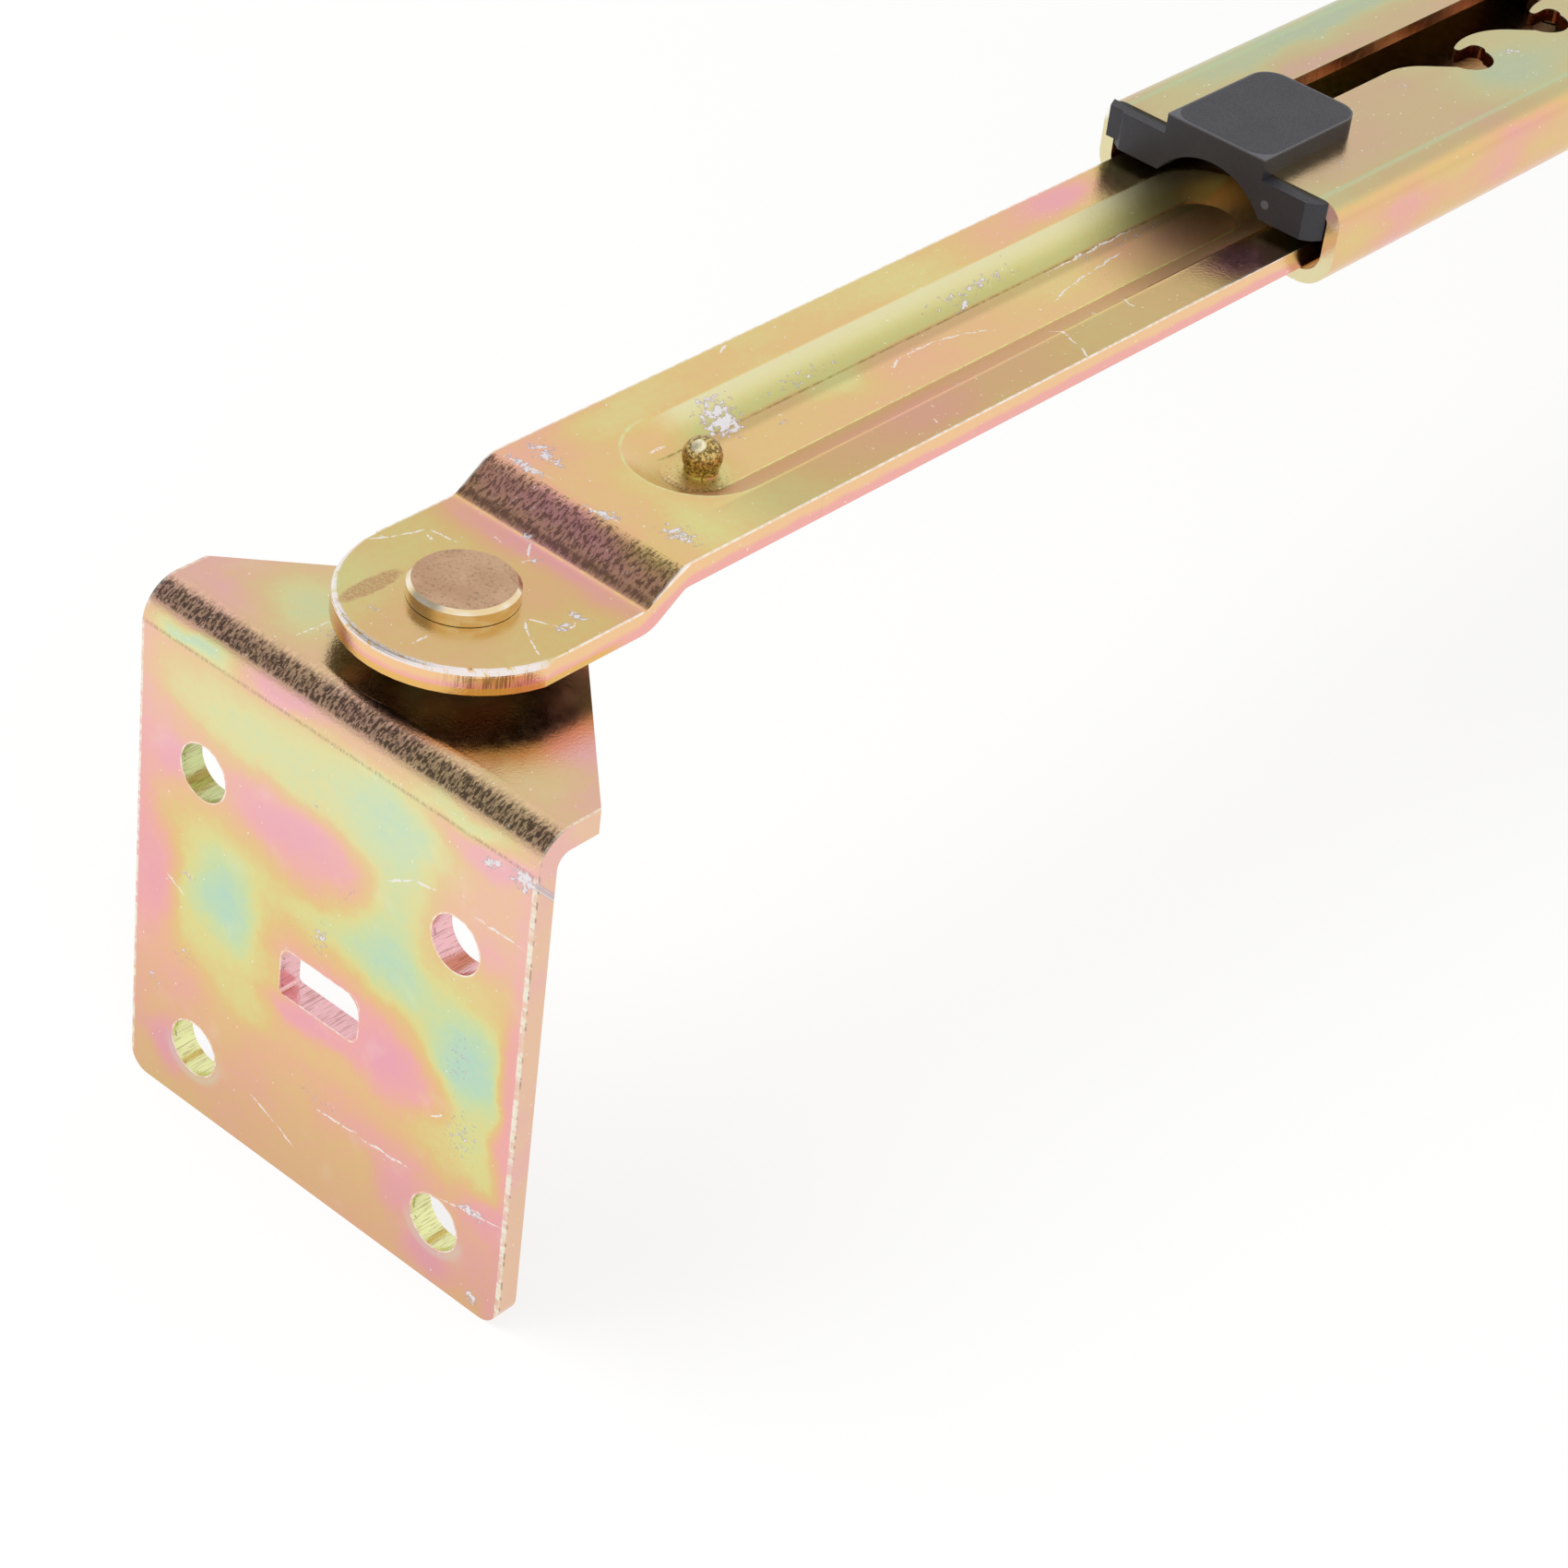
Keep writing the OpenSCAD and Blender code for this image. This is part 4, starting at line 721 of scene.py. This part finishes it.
def railFinish(name):
    material, tree = startMaterial(name)
    coords = millimetres(tree)
    x, y, z = axes(tree, coords)
    _, ny, nz, ax, _, az = facing(tree)
    flat = sheetMap(tree, x, y)
    loose = warp(tree, flat, 6.0, 1.8)
    field = span(tree, grain(tree, coords, 10, 2.0, stretch=(1, 2, 1)), 0.32, 0.68, 0.28, 0.56)
    field = layFilm(tree, field, loose, railSettings["patches"])
    sideField = span(tree, grain(tree, coords, 8, 2.0, stretch=(1, 2.5, 1), shift=(2, 1, 0)),
                     0.35, 0.65, 0.18, 0.46)
    field = settle(tree, field, sideField, span(tree, ax, 0.5, 0.9))
    mottle = grain(tree, coords, 1.0, 5.0, rough=0.7)
    field = calc(tree, "ADD", field, span(tree, mottle, 0.25, 0.75, -0.05, 0.05, False))
    colour = filmRamp(tree, field)
    top = calc(tree, "MULTIPLY", span(tree, nz, 0.6, 0.9), span(tree, z, 43, 44))
    colour = tint(tree, colour, railSettings["top"], top, 0.5)
    bend = band(tree, calc(tree, "ABSOLUTE", x), 12.0, 12.6, 0.2)
    colour = tint(tree, colour, "#B9CFA0", calc(tree, "MULTIPLY", bend, top), 0.5)
    # slot walls: thick film, orange, browner in the pockets, with painted highlights on the hook
    # noses and along the rim
    inSlot = calc(tree, "MULTIPLY", band(tree, x, -5.5, 6.9, 0.2), span(tree, z, 43.9, 44.0),
                  band(tree, y, 126, 244, 0.5))
    slotWall = calc(tree, "MULTIPLY", inSlot, span(tree, az, 0.3, 0.2))
    shear = grain(tree, coords, 0.26, 3.0, stretch=(1, 1, 10))
    wall = tint(tree, railSettings["slotWall"], railSettings["pocket"], span(tree, x, 1.0, 2.0))
    wall = tint(tree, wall, "#A05436", span(tree, shear, 0.45, 0.65), 0.4)
    noseHighlight = calc(tree, "MULTIPLY", span(tree, x, 1.6, 1.2), span(tree, x, -1.0, 0.0))
    noseHighlight = calc(tree, "MULTIPLY", noseHighlight, span(tree, shear, 0.4, 0.5))
    wall = tint(tree, wall, "#FBE9CE", noseHighlight, 0.8)
    wall = tint(tree, wall, "#F4DCC0", span(tree, z, 45.25, 45.42), 0.8)
    colour = tint(tree, colour, wall, slotWall)
    # mouth: the sheet's end shows cream, with a painted highlight at its upper corners
    mouth = calc(tree, "MULTIPLY", span(tree, ny, -0.7, -0.9), span(tree, y, 123, 122.6))
    colour = tint(tree, colour, "#E2DDB4", mouth, 0.8)
    corner = calc(tree, "MULTIPLY", mouth, span(tree, calc(tree, "ABSOLUTE", x), 11.5, 12.5),
                  span(tree, z, 42.5, 43.5))
    colour = tint(tree, colour, "#FFFFFA", corner, 0.8)
    colour, bare = scuffed(tree, colour, flat, railSettings["scuffs"])
    colour = flecked(tree, colour, coords, 0.6)
    height = span(tree, grain(tree, coords, 0.22, 3.0), 0.2, 0.8)
    rough = settle(tree, span(tree, mottle, 0.3, 0.7, 0.18, 0.27), 0.4, bare)
    finishMetal(tree, colour, rough, height, 0.35, 0.02)
    return material


# rivets: steel with a thin copper-brown film, matt on the hammered head, its rim polished gold
rivetSettings = {"head": "#D3AE8E", "cloud": "#C69F7F", "grainDark": "#80604A", "rim": "#EAD2A4"}


def rivetFinish(name):
    material, tree = startMaterial(name)
    coords = millimetres(tree)
    az = facing(tree)[-1]
    colour = tint(tree, rivetSettings["head"], rivetSettings["cloud"],
                  span(tree, grain(tree, coords, 3.5, 3.0), 0.35, 0.65))
    fine = grain(tree, coords, 0.34, 4.0, rough=0.72)
    colour = tint(tree, colour, rivetSettings["grainDark"], span(tree, fine, 0.5, 0.68), 0.5)
    side = span(tree, az, 0.97, 0.85)
    turned = tint(tree, rivetSettings["rim"], "#F4EAD6",
                  span(tree, grain(tree, coords, 2.4, 2.0, stretch=(1, 1, 0.4)), 0.4, 0.7))
    colour = tint(tree, colour, turned, side)
    rough = span(tree, az, 0.97, 0.85, 0.45, 0.13)
    height = calc(tree, "MULTIPLY", fine, span(tree, az, 0.9, 0.97, 0.08, 1.0))
    finishMetal(tree, colour, rough, height, 0.7, 0.03)
    return material


def washerFinish(name):
    # zinc-plated turned ring: a thin yellow film over fine turning lines
    material, tree = startMaterial(name)
    coords = millimetres(tree)
    field = span(tree, grain(tree, coords, 4, 2.0), 0.3, 0.7, 0.3, 0.7)
    # painted shade: the film is half mixed to dark brown for the gap the washer sits in
    colour = tint(tree, filmRamp(tree, field), "#6B5B3A", 0.5)
    rings = grain(tree, coords, 0.3, 2.0, stretch=(8, 8, 1))
    finishMetal(tree, colour, 0.28, rings, 0.3, 0.02)
    return material


def steelFinish(name, base, dark, size, stretch):
    # bare pressed or drawn steel: grey, with fine lines from the tool
    material, tree = startMaterial(name)
    coords = millimetres(tree)
    lines = grain(tree, coords, size, 3.0, stretch=stretch)
    colour = tint(tree, base, dark, span(tree, lines, 0.35, 0.65))
    rough = span(tree, lines, 0.3, 0.7, 0.22, 0.38)
    finishMetal(tree, colour, rough, lines, 0.4, 0.02)
    return material


# guide and slider: moulded polyamide, charcoal, satin, with a fine spark-eroded skin
plasticSettings = {
    "base": "#242329", "cloud": "#1F1E24", "edge": "#5E5D64",
    "tabCentre": (-0.1, 129.1), "tabHalf": (6.2, 8.4), "tabCorner": 2.6, "tabTop": 47.65,
    "ejector": (7.0, 43.0),
}


def plasticFinish(name, withTab=False):
    material, tree = startMaterial(name)
    coords = millimetres(tree)
    x, y, z = axes(tree, coords)
    cloud = grain(tree, coords, 5, 3.0)
    colour = tint(tree, plasticSettings["base"], plasticSettings["cloud"],
                  span(tree, cloud, 0.35, 0.65))
    pits = grain(tree, coords, 0.2, 3.0, rough=0.6)
    if withTab:
        # the tab's edges are painted a little paler, a painted highlight in place of a rounded edge
        corner, tabTop = plasticSettings["tabCorner"], plasticSettings["tabTop"]
        away = roundedAway(tree, (x, y), plasticSettings["tabCentre"], plasticSettings["tabHalf"],
                           corner)
        edge = calc(tree, "MULTIPLY", span(tree, away, corner - 0.3, corner - 0.1),
                    span(tree, z, tabTop - 0.25, tabTop - 0.1))
        colour = tint(tree, colour, plasticSettings["edge"], edge, 0.6)
        # a round mark of the mould's ejector on the front
        across, high = plasticSettings["ejector"]
        ring = distance(tree, calc(tree, "ADD", x, -across), calc(tree, "ADD", z, -high))
        mark = calc(tree, "MULTIPLY", span(tree, ring, 0.55, 0.4), span(tree, y, 122, 121.6))
        colour = tint(tree, colour, "#5C5B62", mark, 0.7)
    bump = addNode(tree, "Bump", {"Strength": 0.35, "Distance": 0.00003}, {"Height": pits})
    rough = span(tree, pits, 0.3, 0.7, 0.42, 0.56)
    shader = addNode(tree, "BsdfPrincipled", {"Metallic": 0.0, "IOR": 1.53},
                     {"Base Color": colour, "Roughness": rough, "Normal": bump.outputs["Normal"]})
    addNode(tree, "OutputMaterial", {}, {"Surface": shader.outputs[0]})
    return material


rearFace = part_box("rear_bracket")[1].y
finishes = {
    "front_bracket": bracketFinish("yellowZincFrontBracket"),
    "rear_bracket": bracketFinish("yellowZincRearBracket", rearFace, 1.5),
    "sliding_arm": armFinish("yellowZincArm"),
    "rail": railFinish("yellowZincRail"),
    "front_rivet": rivetFinish("copperBrownRivet"),
    "rear_rivet": rivetFinish("copperBrownRearRivet"),
    "pawl_rivet": rivetFinish("copperBrownPawlRivet"),
    "front_washer": washerFinish("yellowZincWasher"),
    "rear_washer": washerFinish("yellowZincRearWasher"),
    "latch_pawl": steelFinish("bareSteelPawl", "#B5B4B0", "#96948F", 0.25, (1, 9, 1)),
    "latch_pin": steelFinish("bareSteelPin", "#BDBCB8", "#A3A19C", 0.2, (6, 6, 1)),
    "click_spring": steelFinish("drawnSpringWire", "#8F9195", "#6F7176", 0.15, (1, 6, 1)),
    "inner_slider": plasticFinish("charcoalPolyamideSlider"),
    "end_guide": plasticFinish("charcoalPolyamideGuide", True),
}
for nodeName, material in finishes.items():
    nodes[nodeName].data.materials.clear()
    nodes[nodeName].data.materials.append(material)
print("finishes ready:", len(finishes))
